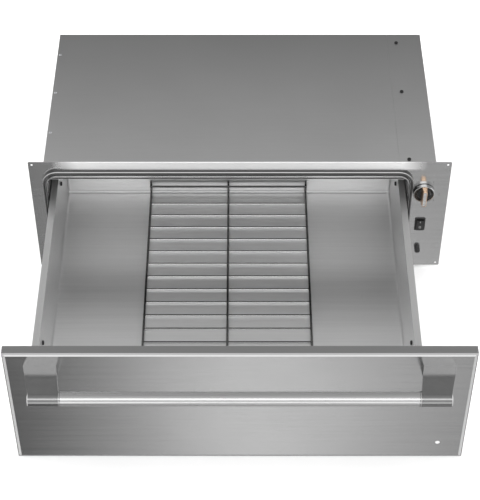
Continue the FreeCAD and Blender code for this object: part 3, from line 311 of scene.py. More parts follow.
# %% [markdown]
# ## Casing sheet
# The casing is coated steel sheet that nobody is meant to see: dull grey, with a faint drawn grain and
# soft blotches where the rolls pressed harder. It reflects in a broader sheen than the brushed front, so
# it is rougher, and its colour varies over large soft patches. A fine noise alone would look like sand,
# and a coarse one like stains, so one of each is added. The lid is painted darker to the back: painted
# shade. The liner's collar above a height is painted black: a painted shadow line at the joint.

# %% The casing's finish
DRAWN_GRAIN = (9.0, 420.0, 420.0)
GRAIN_SHADE = 0.8
BLOTCHES = 7.0
BLOTCH_SHADE = 0.9
BLOTCH_ROUGH = 0.08
# How far back the painted shade darkens the lid, and the tone of the painted shadow.
BACK_SHADE_OVER = 400 * MM
SHADOW_TONE = 0.04


def casing_sheet(name, tone, roughness, toned=0.0, shadow_above=None):
    """Drawn sheet, with painted shade darker to the back, and a painted shadow in black above a height if one
    is given.
    """
    finish = Finish(name, grey(tone), metallic=1.0, roughness=roughness)
    grain = finish.noise(DRAWN_GRAIN, detail=3.0)
    blotch = finish.noise(BLOTCHES, detail=4.0, rough=0.6) - 0.5
    shade = 0.5 + (grain - 0.5) * GRAIN_SHADE + blotch * BLOTCH_SHADE
    sheet = finish.shades(shade, grey(tone * 0.95), grey(tone * 1.05))
    # Painted shade: darker towards the back.
    if toned:
        sheet = finish.shades(finish.axis("Y").ramp(0.0, BACK_SHADE_OVER), sheet, grey(tone * (1 - toned)))
    # Painted shadow: black above a height.
    if shadow_above:
        sheet = finish.shades(finish.axis("Z").above(shadow_above), sheet, grey(SHADOW_TONE))
    finish.drive(Base_Color=sheet, Roughness=roughness + blotch * BLOTCH_ROUGH)
    finish.bumped(grain, 0.08, SCRATCH_DEPTH)
    return finish.material


casing_grey = casing_sheet("casing_grey", 0.66, 0.3, toned=0.46)
liner_grey = casing_sheet("liner_grey", 0.85, 0.34, shadow_above=87.2 * MM)
zinc_sheet = casing_sheet("zinc_sheet", 0.62, 0.36)
print("three sheet finishes")

# %% [markdown]
# ## Plain metals and plastics
# Screws, nuts, the knob and the switch are turned, plated or moulded, and each is too small to show a
# grain of its own. What gives such a part away as a model is that it is perfect. So one function for
# metals and one for plastics add what any real one has: a gloss that isn't quite even, a shade that
# wanders a little, and a skin with the finest of dents or the spark-eroded grain of its mould.

# %% Plain metals and plastics
WEAR, WEAR_ROUGH = 160.0, 0.14
DENTS, DENT_DEPTH = 900.0, 0.08 * MM
HAZE, HAZE_ROUGH = 60.0, 0.12
SPARKS, SPARK_DEPTH = 2600.0, 0.06 * MM


def plain_metal(name, colour, roughness, dents=0.15):
    """Turned, drawn or plated metal, a little uneven in shade, gloss and skin."""
    finish = Finish(name, colour, metallic=1.0, roughness=roughness)
    wear = finish.noise(WEAR, detail=3.0)
    worn = tuple(channel * 0.92 for channel in colour)
    finish.drive(Base_Color=finish.shades(wear, worn, colour),
                 Roughness=roughness + (wear - 0.5) * WEAR_ROUGH)
    finish.bumped(finish.noise(DENTS), dents, DENT_DEPTH)
    return finish.material


def moulded(name, colour, roughness, grain=0.25):
    """Moulded plastic or rubber with a fine spark-eroded grain."""
    finish = Finish(name, colour, roughness=roughness, Specular_IOR_Level=0.5)
    haze = finish.noise(HAZE, detail=3.0)
    hazy = tuple(channel * 1.25 + 0.002 for channel in colour)
    finish.drive(Base_Color=finish.shades(haze, colour, hazy),
                 Roughness=roughness + (haze - 0.5) * HAZE_ROUGH)
    finish.bumped(finish.noise(SPARKS), grain, SPARK_DEPTH)
    return finish.material


chrome = plain_metal("chrome", grey(0.5), 0.08, dents=0.03)
zinc = plain_metal("zinc", (0.62, 0.63, 0.65), 0.32)
cast_steel = plain_metal("cast_steel", grey(0.34), 0.22, dents=0.1)
black_oxide = plain_metal("black_oxide", grey(0.06), 0.38)
brass = plain_metal("brass", (0.72, 0.52, 0.24), 0.28)
sheath = plain_metal("sheath", (0.2, 0.19, 0.18), 0.5)
bronze = plain_metal("bronze", (0.66, 0.47, 0.33), 0.3)
knurled = plain_metal("knurled", grey(0.86), 0.2, dents=0.05)
black_plastic = moulded("black_plastic", grey(0.012), 0.38)
gloss_black = moulded("gloss_black", grey(0.01), 0.12, grain=0.05)
ceramic = moulded("ceramic", (0.78, 0.76, 0.7), 0.3, grain=0.1)
ink = moulded("ink", grey(0.16), 0.5, grain=0.05)
pale_ink = moulded("pale_ink", grey(0.3), 0.45, grain=0.05)
clear_lens = moulded("clear_lens", grey(0.015), 0.08, grain=0.02)
milky_lens = moulded("milky_lens", grey(0.75), 0.12, grain=0.02)
wool = moulded("wool", (0.62, 0.56, 0.42), 0.9, grain=0.9)
print("eight metals and eight other finishes")

# %% [markdown]
# ## The gasket's rubber
# The gasket is black silicone with a painted highlight: its shoulder is painted pale, and the beads on
# both sides of it are black. A second piece for the pale ring would need a seam. The ring lies between
# two depths of the moulding, so a mask over the depth does it.

# %% Rubber with a painted highlight
BLACK_RUBBER = grey(0.03)
SEAL_HIGHLIGHT = grey(0.42)
# The depths between which the shoulder's painted highlight lies.
HIGHLIGHT_START, HIGHLIGHT_FULL, HIGHLIGHT_END = 4.4 * MM, 5.8 * MM, 7.3 * MM
RUBBER_ROUGH = 0.34


def gasket_rubber():
    """Black silicone with a painted pale highlight on its shoulder."""
    finish = Finish("rubber", BLACK_RUBBER, roughness=RUBBER_ROUGH)
    proud = 0 - finish.axis("Y")
    # The shoulder's painted highlight, between two depths.
    shoulder = proud.ramp(HIGHLIGHT_START, HIGHLIGHT_FULL) * (1.0 - proud.above(HIGHLIGHT_END))
    haze = finish.noise(HAZE, detail=3.0)
    finish.drive(Base_Color=finish.shades(shoulder, BLACK_RUBBER, SEAL_HIGHLIGHT),
                 Roughness=RUBBER_ROUGH + (haze - 0.5) * HAZE_ROUGH)
    finish.bumped(finish.noise(SPARKS), 0.1, SPARK_DEPTH)
    return finish.material


rubber = gasket_rubber()
print("bloomed rubber")

# %% [markdown]
# ## Bright wire
# The rack is chromed wire. A round bright wire shows the whole room squeezed into its width, light and
# dark side by side, and at this width most of that is lost. So each rung gets its two sides as a painted
# reflection, bright to the front and painted darker on the upper rear, which a plane through the rung
# tells apart. The rungs stand at one pitch, and a modulo makes one plane do for all. The three long
# runners lie along the drawer and mirror its dark sides, so they are painted dark all round.

# %% The rack's wire
RACK_LOW, RACK_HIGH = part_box("wire_rack")
RACK_MIDDLE = (RACK_LOW.x + RACK_HIGH.x) / 2
RUNNER_X = 150 * MM
WIRE = 2 * MM
RUNG_PITCH = 31.75 * MM
WHOLE_PITCHES = 40  # keeps the modulo's number above zero
RUNG_FRONT, RUNG_REAR, RUNNER = grey(0.9), grey(0.13), grey(0.16)


def rack_chrome():
    """Bright wire with a painted reflection: each rung painted darker on its upper rear side, and the runners
    painted dark.
    """
    finish = Finish("rack_wire", grey(0.6), metallic=1.0, roughness=0.12)
    inwards = (finish.axis("X") - RACK_MIDDLE).size()
    from_runner = inwards.at_most((inwards - RUNNER_X).size())
    pitches = (finish.axis("Y") - (RACK_HIGH.y - WIRE)) / RUNG_PITCH + (WHOLE_PITCHES + 0.5)
    behind = (pitches % 1.0 - 0.5) * RUNG_PITCH
    over = finish.axis("Z") - (RACK_LOW.z + WIRE)
    # Painted reflection: bright front and darker upper rear of each rung.
    rung = finish.shades((behind + over).above(0.1 * MM), RUNG_FRONT, RUNG_REAR)
    # The runners are painted dark as a painted reflection.
    finish.drive(Base_Color=finish.shades(from_runner.above(0.95 * WIRE), RUNNER, rung))
    finish.bumped(finish.noise(DENTS), 0.05, DENT_DEPTH)
    return finish.material


rack_wire = rack_chrome()
print("rack wire, rungs every", round(RUNG_PITCH / MM, 2), "mm")

# %% [markdown]
# ## Dressing the frame
# Most pieces of the frame have their right shape already and only need a finish. They could be picked
# by a rule on their names, but a table of which finish goes on what is easier to read and to check. A
# piece that is missing from it would show up in the printed list.

# %% Dress the frame
DRESS = {
    front_steel: ["door_skin"],
    flange_steel: ["face_flange"],
    pan_steel: ["drawer_pan"],
    bar_steel: ["handle_bar"],
    cast_steel: ["handle_post_left", "handle_post_right"],
    casing_grey: ["casing_shell", "top_cover", "bay_cover", "rear_panel"],
    liner_grey: ["cavity_liner"],
    zinc_sheet: ["door_inner", "bay_rail", "slide_outer_left", "slide_outer_right", "slide_middle_left",
                 "slide_middle_right", "slide_inner_left", "slide_inner_right"],
    zinc: ["ball_cages_left", "ball_cages_right", "thermostat_nut", "lamp_nut", "element_plate",
           "element_clips", "handle_screws", "rear_screws", "cover_rivets", "thermal_cutout", "knob_shaft"],
    black_oxide: ["cover_screws", "pan_screws"],
    rack_wire: ["wire_rack"],
    chrome: ["knob_ring"],
    bronze: ["knob_grip"],
    gloss_black: ["knob_skirt"],
    black_plastic: ["switch_housing", "rocker_key", "lamp_body", "cord_gland", "control_pocket",
                    "thermostat_body", "terminal_block"],
    rubber: ["door_seal"],
    clear_lens: ["lamp_lens"],
    milky_lens: ["light_window"],
    brass: ["terminal_screws"],
    sheath: ["heating_element"],
    ceramic: ["element_pins"],
    wool: ["insulation_top", "insulation_bottom", "door_insulation"],
}
dressed = set()
for finish, names in DRESS.items():
    for name in names:
        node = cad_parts[name]
        node.data.materials.clear()
        node.data.materials.append(finish)
        dressed.add(name)
print("dressed", len(dressed), "nodes; left:", sorted(set(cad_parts) - dressed))

# %% [markdown]
# ## Modelling by hand, in code
# A piece starts as a primitive at its size and place. It is then shaped in edit mode, where an operator
# acts on whatever is selected. So two helpers do what the mouse does: one adds a primitive with
# everything else deselected, and one selects the faces, edges or corners that pass a test. Indices would
# break as soon as a step changes, so each test goes by place or normal.

# %% Hands
Y, Z = 1, 2


def start(kind, name, place, **settings):
    """Adds a primitive with nothing else selected, and names it."""
    bpy.ops.object.select_all(action="DESELECT")
    getattr(bpy.ops.mesh, "primitive_" + kind + "_add")(location=place, **settings)
    piece = bpy.context.object
    piece.name = name
    return piece


def settle():
    """Puts the selected object's place, turn and size into its mesh."""
    bpy.ops.object.transform_apply(location=True, rotation=True, scale=True)


def sized(piece, size):
    """Scales a primitive of size 1 to its real size."""
    piece.scale = size
    settle()


def edit():
    bpy.ops.object.mode_set(mode="EDIT")


def done():
    bpy.ops.object.mode_set(mode="OBJECT")


def select(kind, test):
    """In edit mode, selects only the "verts", "edges" or "faces" that a test accepts."""
    bpy.context.tool_settings.mesh_select_mode = (kind == "verts", kind == "edges", kind == "faces")
    bpy.ops.mesh.select_all(action="DESELECT")
    mesh = bpy.context.object.data
    shape = bmesh.from_edit_mesh(mesh)
    for part in getattr(shape, kind):
        if test(part):
            part.select_set(True)
    shape.select_flush_mode()
    bmesh.update_edit_mesh(mesh)


def everything(part):
    """The test that every face, edge or corner passes."""
    return True


def faces_to(axis, sign):
    """The test that a face looks along an axis, or against it where the sign is -1."""
    return lambda face: face.normal[axis] * sign > 0.9


def extrude(x=0.0, y=0.0, z=0.0):
    bpy.ops.mesh.extrude_region_move(TRANSFORM_OT_translate={"value": (x, y, z)})


def inset_steps(steps):
    """Insets the selected faces again and again, each time by (across, rise) in millimetres."""
    for across, rise in steps:
        bpy.ops.mesh.inset(thickness=across * MM, depth=rise * MM)


print("hands ready")

# %% [markdown]
# Once its shape is right, a piece is taken over by the frame: it gets its finish, rides on a body, and
# may stand for nodes that it replaces. A shape that repeats, such as a screw, is modelled once, and its
# copies are joined. Where they go is read from the frame, by the middles of the solids in a node.

# %% Finishing and repeating a piece
APART = 12 * MM


def smooth(piece, degrees=40):
    bpy.ops.object.select_all(action="DESELECT")
    piece.select_set(True)
    bpy.context.view_layer.objects.active = piece
    bpy.ops.object.shade_smooth_by_angle(angle=math.radians(degrees))


def with_modifier(piece, kind, **settings):
    """Adds a modifier with its settings and applies it."""
    modifier = piece.modifiers.new(kind.lower(), kind)
    for key, value in settings.items():
        setattr(modifier, key, value)
    bpy.context.view_layer.objects.active = piece
    bpy.ops.object.modifier_apply(modifier=modifier.name)


def finished(piece, body, finish, stands_for=()):
    """Gives a piece its finish, its body and the nodes it stands for."""
    piece.data.materials.clear()
    piece.data.materials.append(finish)
    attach(piece, body)
    if stands_for:
        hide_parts(*stands_for)
    print(piece.name, "rides on", body, "with", len(piece.data.polygons), "faces")


def copies(model, name, placements):
    """Copies a model, each with its own mesh, to each placement, joins the copies and drops the model."""
    bpy.ops.object.select_all(action="DESELECT")
    for placement in placements:
        twin = model.copy()
        twin.data = model.data.copy()
        twin.matrix_world = placement
        bpy.context.scene.collection.objects.link(twin)
        twin.select_set(True)
        bpy.context.view_layer.objects.active = twin
    settle()
    bpy.ops.object.join()
    whole = bpy.context.view_layer.objects.active
    whole.name = name
    bpy.data.objects.remove(model)
    return whole


def solids_of(node):
    """The middles of a node's separate solids, found by gathering points that lie near each other."""
    groups = []
    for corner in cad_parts[node].data.vertices:
        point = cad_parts[node].matrix_world @ corner.co
        for group in groups:
            if all(low - APART < c < high + APART for low, high, c in zip(group[0], group[1], point)):
                group[0] = Vector(min(a, b) for a, b in zip(group[0], point))
                group[1] = Vector(max(a, b) for a, b in zip(group[1], point))
                break
        else:
            groups.append([point.copy(), point.copy()])
    return [(low + high) / 2 for low, high in groups]


print("finishing helpers ready")

# %% [markdown]
# ## The gasket
# The drawer closes against a moulded silicone gasket that lies on the flange round the opening. Its face
# has an outer bead, a groove and a thin inner lip. A curve with a bevel profile could make it, but the
# corners would pinch. Here a flat plate gets round corners, and then insets step inwards over its face,
# each one rising or sinking, so every step runs evenly round the corners. The plate's middle is opened
# last, and its back closed to a ring.

# %% The gasket
SEAL_LOW, SEAL_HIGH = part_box("door_seal")
SEAL_CORNER = 28 * MM
SEAL_RISE = 7.2
SEAL_STEPS = [(0.5, 1.3), (0.8, 1.0), (1.1, 0.5), (0.9, -0.2), (0.7, -1.4), (0.5, -1.2), (0.6, 0.1),
              (0.4, 1.1), (0.6, 0.3), (0.4, -0.4)]
seal_middle = (SEAL_LOW + SEAL_HIGH) / 2
seal_size = SEAL_HIGH - SEAL_LOW
gasket = start("plane", "gasket", (seal_middle.x, SEAL_HIGH.y, seal_middle.z), size=1,
               rotation=(math.pi / 2, 0, 0))
sized(gasket, (seal_size.x, seal_size.z, 1))
edit()
select("verts", everything)
bpy.ops.mesh.bevel(offset=SEAL_CORNER, segments=14, affect="VERTICES")
select("faces", everything)
extrude(y=-SEAL_RISE * MM)
inset_steps(SEAL_STEPS)
extrude(y=(SEAL_RISE + sum(rise for _, rise in SEAL_STEPS)) * MM)
select("faces", lambda face: len(face.verts) > 4)
bpy.ops.mesh.delete(type="ONLY_FACE")
select("edges", lambda edge: len(edge.link_faces) == 1)
bpy.ops.mesh.bridge_edge_loops()
bpy.ops.mesh.select_all(action="SELECT")
bpy.ops.mesh.normals_make_consistent(inside=False)
done()
smooth(gasket, 50)
finished(gasket, "chassis", rubber, ["door_seal"])

# %% [markdown]
# ## Screws with a cross in the head
# A pan-head screw is a short drum with a crowned top and a cross pressed into it. The crown is a bevel on
# the top rim. The cross could be drawn with insets, but two crossed bars cut away with a Boolean give
# clean walls. One screw is made pointing up at the origin, and each real screw is a copy that is turned
# to its wall.

# %% A cross-recess screw
CROWN = 0.62  # of the head's height
CROSS_LENGTH = 1.15  # of the head's radius, as the next
CROSS_WIDTH = 0.26
CROSS_DEPTH = 0.9  # of the head's height, centred on its top
CROSS_TAPER = 0.55


def cross_screw(head_r, head_h, shank_r, shank):
    """A screw at the origin, its seat at z 0 and its head up."""
    screw = start("cylinder", "screw", (0, 0, head_h / 2), vertices=28, radius=head_r, depth=head_h)
    settle()
    edit()
    select("edges", lambda edge: all(corner.co.z > head_h * 0.99 for corner in edge.verts))
    bpy.ops.mesh.bevel(offset=head_h * CROWN, segments=5, profile=0.6)
    select("faces", faces_to(Z, -1))
    bpy.ops.mesh.inset(thickness=head_r - shank_r, depth=0)
    extrude(z=-shank)
    done()
    for turn in (0, math.pi / 2):
        cutter = start("cube", "cutter", (0, 0, head_h), size=1, rotation=(0, 0, turn))
        sized(cutter, (head_r * CROSS_LENGTH, head_r * CROSS_WIDTH, head_h * CROSS_DEPTH))
        edit()
        select("faces", faces_to(Z, -1))
        bpy.ops.transform.resize(value=(CROSS_TAPER, CROSS_TAPER, 1),
                                 center_override=(0, 0, head_h * (1 - CROSS_DEPTH / 2)))
        done()
        with_modifier(screw, "BOOLEAN", object=cutter)
        bpy.data.objects.remove(cutter)
    smooth(screw, 35)
    return screw


def turned_to(place, way):
    """A placement that points a screw made along +Z in another direction."""
    return Matrix.Translation(place) @ Vector((0, 0, 1)).rotation_difference(Vector(way)).to_matrix().to_4x4()


print("one screw to copy")

# %% [markdown]
# The frame's plain screws say where the real ones go. The cover's point up, the rear panel's point
# back, and the pan's sit inside the drawer with their heads towards each other.

# %% The screws
SHEET_HEAD = 1.6 * MM  # how far a sheet screw's or rivet's plain head stands off its sheet
PAN_SEAT = 8.5 * MM  # from the tip of a pan screw to its seat
cover_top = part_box("cover_screws")[1].z
seats = [Vector((spot.x, spot.y, cover_top - SHEET_HEAD)) for spot in solids_of("cover_screws")]
screw = cross_screw(head_r=3.6 * MM, head_h=1.9 * MM, shank_r=1.5 * MM, shank=6.5 * MM)
cover_cross = copies(screw, "cover_screws_crossed", [turned_to(seat, (0, 0, 1)) for seat in seats])
finished(cover_cross, "chassis", black_oxide, ["cover_screws"])

rear_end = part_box("rear_screws")[1].y
seats = [Vector((spot.x, rear_end - SHEET_HEAD, spot.z)) for spot in solids_of("rear_screws")]
screw = cross_screw(head_r=3.4 * MM, head_h=1.6 * MM, shank_r=1.5 * MM, shank=6.5 * MM)
rear_cross = copies(screw, "rear_screws_crossed", [turned_to(seat, (0, 1, 0)) for seat in seats])
finished(rear_cross, "chassis", zinc, ["rear_screws"])

pan_low, pan_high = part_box("pan_screws")
placements = []
for spot in solids_of("pan_screws"):
    if spot.x > (pan_low.x + pan_high.x) / 2:
        placements.append(turned_to((pan_high.x - PAN_SEAT, spot.y, spot.z), (-1, 0, 0)))
    else:
        placements.append(turned_to((pan_low.x + PAN_SEAT, spot.y, spot.z), (1, 0, 0)))
screw = cross_screw(head_r=4.0 * MM, head_h=3.2 * MM, shank_r=1.5 * MM, shank=8.4 * MM)
pan_cross = copies(screw, "pan_screws_crossed", placements)
finished(pan_cross, "drawer", black_oxide, ["pan_screws"])

# %% [markdown]
# ## Blind rivets
# The large cover is riveted along its left edge. A blind rivet's head is a low dome with a dimple where
# its nail broke off. Both are shapes of revolution, so a spin would do, but a drum whose top is inset in
# steps gives the same rings with even faces, and the dimple is only one more inset that goes down.

# %% The rivets
RIVET_R = 2.6
RIVET_BARREL_R = 1.5
RIVET_BARREL = 6 * MM
RIVET_DRUM = 0.6 * MM
DOME_STEPS = [(0.35, 0.4), (0.5, 0.3), (0.55, 0.12), (0.2, -0.1), (0.12, -0.7)]
rivet = start("cylinder", "rivet", (0, 0, RIVET_DRUM / 2), vertices=24, radius=RIVET_R * MM, depth=RIVET_DRUM)
settle()
edit()
select("faces", faces_to(Z, 1))
inset_steps(DOME_STEPS)
select("faces", faces_to(Z, -1))
inset_steps([(RIVET_R - RIVET_BARREL_R, 0)])
extrude(z=-RIVET_BARREL)
done()
smooth(rivet, 50)
rivet_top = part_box("cover_rivets")[1].z
seats = [Vector((spot.x, spot.y, rivet_top - SHEET_HEAD)) for spot in solids_of("cover_rivets")]
rivets = copies(rivet, "cover_rivets_domed", [Matrix.Translation(seat) for seat in seats])
finished(rivets, "chassis", zinc, ["cover_rivets"])

# %% [markdown]
# ## The knob's grip
# The grip is a flared bar across a black dish: bronze coloured on its flanks, with a bright knurled strip
# let into its face. The bar is a cube whose front face is drawn in, with its corners bevelled, and a
# shallow bed sunk into it by insets. The strip is a grid of small squares. Every second one is raised to
# a stud, as on a chessboard, which costs far fewer faces than cut diagonals and looks the same at arm's
# length.

# %% The grip
GRIP_LOW, GRIP_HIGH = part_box("knob_grip")
GRIP_TAPER = 0.72
GRIP_ROUND = 2.6 * MM
grip_middle = (GRIP_LOW + GRIP_HIGH) / 2
grip = start("cube", "knob_grip_bar", grip_middle, size=1)
sized(grip, GRIP_HIGH - GRIP_LOW)
edit()
select("faces", faces_to(Y, -1))
bpy.ops.transform.resize(value=(GRIP_TAPER, 1, 1), center_override=grip_middle)
select("edges", lambda edge: abs(edge.verts[0].co.y - edge.verts[1].co.y) > 5 * MM)
bpy.ops.mesh.bevel(offset=GRIP_ROUND, segments=6)
select("faces", faces_to(Y, -1))
inset_steps([(0.5, 0.5), (0.25, 0), (0.1, -0.6)])
done()
smooth(grip, 35)
finished(grip, "knob", bronze, ["knob_grip"])

# %% The knurled strip
STRIP_W, STRIP_H = 5.6 * MM, 33.6 * MM
STRIP_COLUMNS, STRIP_ROWS = 7, 38
STRIP_SHEET = 0.6 * MM
STRIP_PROUD = 0.25 * MM
STUD_SLOPE, STUD_HEIGHT = 0.26 * MM, 0.42 * MM
strip = start("grid", "knob_grip_knurl", (grip_middle.x, GRIP_LOW.y - STRIP_PROUD, grip_middle.z),
              x_subdivisions=STRIP_COLUMNS, y_subdivisions=STRIP_ROWS, size=1, rotation=(math.pi / 2, 0, 0))
sized(strip, (STRIP_W, STRIP_H, 1))


def is_stud(face):
    """Every second square of the grid, as on a chessboard."""
    middle = face.calc_center_median()
    column = round(middle.x / (STRIP_W / STRIP_COLUMNS) - 0.5)
    row = round(middle.z / (STRIP_H / STRIP_ROWS) - 0.5)
    return (column + row) % 2 == 0


edit()
select("faces", is_stud)
bpy.ops.mesh.inset(thickness=STUD_SLOPE, depth=STUD_HEIGHT, use_individual=True)
done()
with_modifier(strip, "SOLIDIFY", thickness=STRIP_SHEET, offset=-1)
finished(strip, "knob", knurled)

# %% [markdown]
# ## Marks on the dial and the switch
# Three plain numbers stand beside the knob, printed in dark ink, and the switch has the usual bar and
# ring. Ink has next to no thickness, but a flat plane laid on a face flickers against it. So each mark
# has a thickness and is sunk halfway into what carries it: a tenth of a millimetre for the printed
# numbers, and half a millimetre for the bar and the ring, which are moulded in.

# %% The numbers
KNOB_MIDDLE = Vector((grip_middle.x, 0, grip_middle.z))
NUMBER_RADIUS = 29 * MM
NUMBER_SIZE = 8.5 * MM
INK_HALF = 0.05 * MM
marks = []
for text, degrees in (("1", 56), ("2", -13), ("3", -48)):
    bpy.ops.object.select_all(action="DESELECT")
    bpy.ops.object.text_add(location=(0, 0, 0))
    mark = bpy.context.object
    mark.data.body = text
    mark.data.size = NUMBER_SIZE
    mark.data.align_x = "CENTER"
    mark.data.align_y = "CENTER"
    mark.data.resolution_u = 4
    mark.data.extrude = INK_HALF
    bpy.ops.object.convert(target="MESH")
    turn = math.radians(degrees)
    mark.location = KNOB_MIDDLE + Vector((math.cos(turn), 0, math.sin(turn))) * NUMBER_RADIUS
    mark.rotation_euler = (math.pi / 2, 0, 0)
    settle()
    marks.append(mark)
for mark in marks:
    mark.select_set(True)
bpy.ops.object.join()
numbers = bpy.context.object
numbers.name = "dial_numbers"
finished(numbers, "chassis", ink)

# %% [markdown]
# The rocker's face is two flats that meet in a shallow valley, and the whole key stands thrown to one
# side. A mark is easiest to make upright at the origin. It is then laid on its flat, and thrown with
# the key about the key's own pivot. Both marks lean by the lower flat's tilt. The upper flat is steeper,
# so the bar on it is flush at its top and stands a little proud at its foot.

# %% The switch's bar and ring
KEY_PIVOT = Vector((grip_middle.x, 3 * MM, -22.05 * MM))
KEY_THROW = Matrix.Rotation(math.radians(-8), 4, "X")
KEY_FLAT = math.radians(10.6)
MARK_DEPTH = 0.5 * MM
BAR_W, BAR_H = 1.1 * MM, 4.4 * MM
RING_R, RING_STROKE = 2.1, 0.8


def on_key(mark, y, z, tilt):
    """Lays a mark made at the origin on the rocker's face, then throws it with the key."""
    lay = Matrix.Translation((0, y, z)) @ Matrix.Rotation(tilt, 4, "X")
    from_pivot = Matrix.Translation((0, -KEY_PIVOT.y, 0))
    mark.matrix_world = Matrix.Translation(KEY_PIVOT) @ KEY_THROW @ from_pivot @ lay
    settle()


bar_mark = start("cube", "rocker_bar_mark", (0, 0, 0), size=1)
sized(bar_mark, (BAR_W, MARK_DEPTH, BAR_H))
edit()
select("faces", faces_to(Y, -1))
inset_steps([(0.2, 0.15)])
done()
on_key(bar_mark, -6.05 * MM, 7.4 * MM, KEY_FLAT)
finished(bar_mark, "rocker", pale_ink)

ring_mark = start("circle", "rocker_ring_mark", (0, 0, 0), vertices=24, radius=RING_R * MM,
                  fill_type="NGON", rotation=(math.pi / 2, 0, 0))
settle()
edit()
select("faces", everything)
inset_steps([(RING_STROKE, 0)])
bpy.ops.mesh.delete(type="FACE")
done()
with_modifier(ring_mark, "SOLIDIFY", thickness=MARK_DEPTH, offset=0)
on_key(ring_mark, -6.1 * MM, -4.2 * MM, -KEY_FLAT)
finished(ring_mark, "rocker", pale_ink)

# %% [markdown]
# ## Collars on the handle
# The tube enters its end brackets through a thin turned collar, with a narrow dark groove beside it. A
# ring like that is a circle made into a hoop: an outline, an extrusion along the bar, a wall from
# Solidify and a small bevel that catches a line of light.

# %% The collars
BAR_LOW, BAR_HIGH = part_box("handle_bar")
POST_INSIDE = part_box("handle_post_left")[1].x
COLLAR_R = 12.2 * MM
COLLAR_W = 2.1 * MM
COLLAR_WALL = 0.9 * MM
COLLAR_EDGE = 0.3 * MM
GROOVE = 0.9 * MM
bar_middle = (BAR_LOW + BAR_HIGH) / 2
hoop = start("circle", "hoop", (0, 0, 0), vertices=48, radius=COLLAR_R, rotation=(0, math.pi / 2, 0))
settle()
edit()
select("edges", everything)
extrude(x=COLLAR_W)
bpy.ops.mesh.select_all(action="SELECT")
bpy.ops.mesh.normals_make_consistent(inside=False)
done()
with_modifier(hoop, "SOLIDIFY", thickness=COLLAR_WALL, offset=-1)
with_modifier(hoop, "BEVEL", width=COLLAR_EDGE, segments=2, angle_limit=math.radians(50))
smooth(hoop, 40)
left, right = POST_INSIDE + GROOVE, -POST_INSIDE - GROOVE - COLLAR_W
collars = copies(hoop, "handle_collars",
                 [Matrix.Translation((x, bar_middle.y, bar_middle.z)) for x in (left, right)])
finished(collars, "drawer", chrome)

# %% [markdown]
# ## Weld nuggets on the rack
# Where two wires cross, a spot weld squeezes a little bead out of the joint. Forty-eight of them need few
# faces each, so each is an icosphere of 80 faces, flattened and cut off below, and then copied.

# %% The welds
RUNGS = 16
NUGGET_R, NUGGET_H = 2.5 * MM, 1.3 * MM
NUGGET_BELOW = 0.7 * MM
nugget = start("ico_sphere", "nugget", (0, 0, 0), subdivisions=2, radius=1.0)
sized(nugget, (NUGGET_R, NUGGET_R, NUGGET_H))
edit()
bpy.ops.mesh.select_all(action="SELECT")
bpy.ops.mesh.bisect(plane_co=(0, 0, -NUGGET_BELOW), plane_no=(0, 0, 1), clear_inner=True, use_fill=True)
done()
smooth(nugget, 60)
spots = [Matrix.Translation((RACK_MIDDLE + side * RUNNER_X, RACK_HIGH.y - WIRE - i * RUNG_PITCH,
                             RACK_LOW.z + 2 * WIRE))
         for side in (-1, 0, 1) for i in range(1, RUNGS + 1)]
welds = copies(nugget, "rack_welds", spots)
finished(welds, "rack", rack_wire)

# %% [markdown]
# ## Wool between the sheets
# Batts of mineral wool lie between the cavity and the casing and inside the front. A batt is not a
# cushion: it is a slab whose faces are a little lumpy. A finely divided slab is pushed about by a smooth
# noise, inwards only, so that it still fits between its sheets. The upper batt is cut to the slope of
# the casing's back, so the top of its rear end is pulled forward.

# %% The batts
FIT = 0.6 * MM
LUMP_HEIGHT = 1.2 * MM
BATT_CUTS = 44
lumps = bpy.data.textures.new("lumps", "CLOUDS")
lumps.noise_scale = 30 * MM
lumps.noise_depth = 2


def runs_along(edge, axis):
    span = edge.verts[1].co - edge.verts[0].co
    return abs(span[axis]) > 0.9 * span.length


def is_top_rear(edge, high):
    return all(corner.co.y > high.y - MM and corner.co.z > high.z - MM for corner in edge.verts)


for node, body in (("insulation_top", "chassis"), ("insulation_bottom", "chassis"),
                   ("door_insulation", "drawer")):
    low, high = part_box(node)
    size = high - low - Vector((FIT, FIT, FIT))
    thin = min(range(3), key=lambda axis: size[axis])
    batt = start("cube", node.replace("insulation", "wool"), (low + high) / 2, size=1)
    sized(batt, size)
    edit()
    if node == "insulation_top":
        slope_top = max(v.co.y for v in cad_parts[node].data.vertices if v.co.z > high.z - 1.5 * MM)
        select("edges", lambda edge: is_top_rear(edge, high))
        bpy.ops.transform.translate(value=(0, slope_top - high.y, 0))
    select("edges", lambda edge: not runs_along(edge, thin))
    bpy.ops.mesh.subdivide(number_cuts=BATT_CUTS)
    done()
    with_modifier(batt, "DISPLACE", texture=lumps, strength=-LUMP_HEIGHT, mid_level=0.0)
    smooth(batt, 60)
    finished(batt, body, wool, [node])

# %% [markdown]
# ## The floor
# The drawer lies on a plain pale floor. Its far edge would show as a line against the tent, so it is
# wide, and glows a little to meet the background's white. The metal doesn't mirror it and it throws no
# shadow upwards, because the light from below is part of the tent.

# %% Floor
FLOOR_SIZE = 80.0
FLOOR_GLOW = 0.08
floor = start("plane", "floor", (0, 0, cad_box[0][2] - 0.5 * MM), size=FLOOR_SIZE)
floor_finish = Finish("floor_white", grey(0.92), roughness=0.9, Emission_Color=(1.0, 1.0, 1.0, 1.0),
                      Emission_Strength=FLOOR_GLOW)
floor.data.materials.append(floor_finish.material)
floor.visible_glossy = False
floor.visible_shadow = False
print("floor at z", round(floor.location.z / MM, 1), "mm")

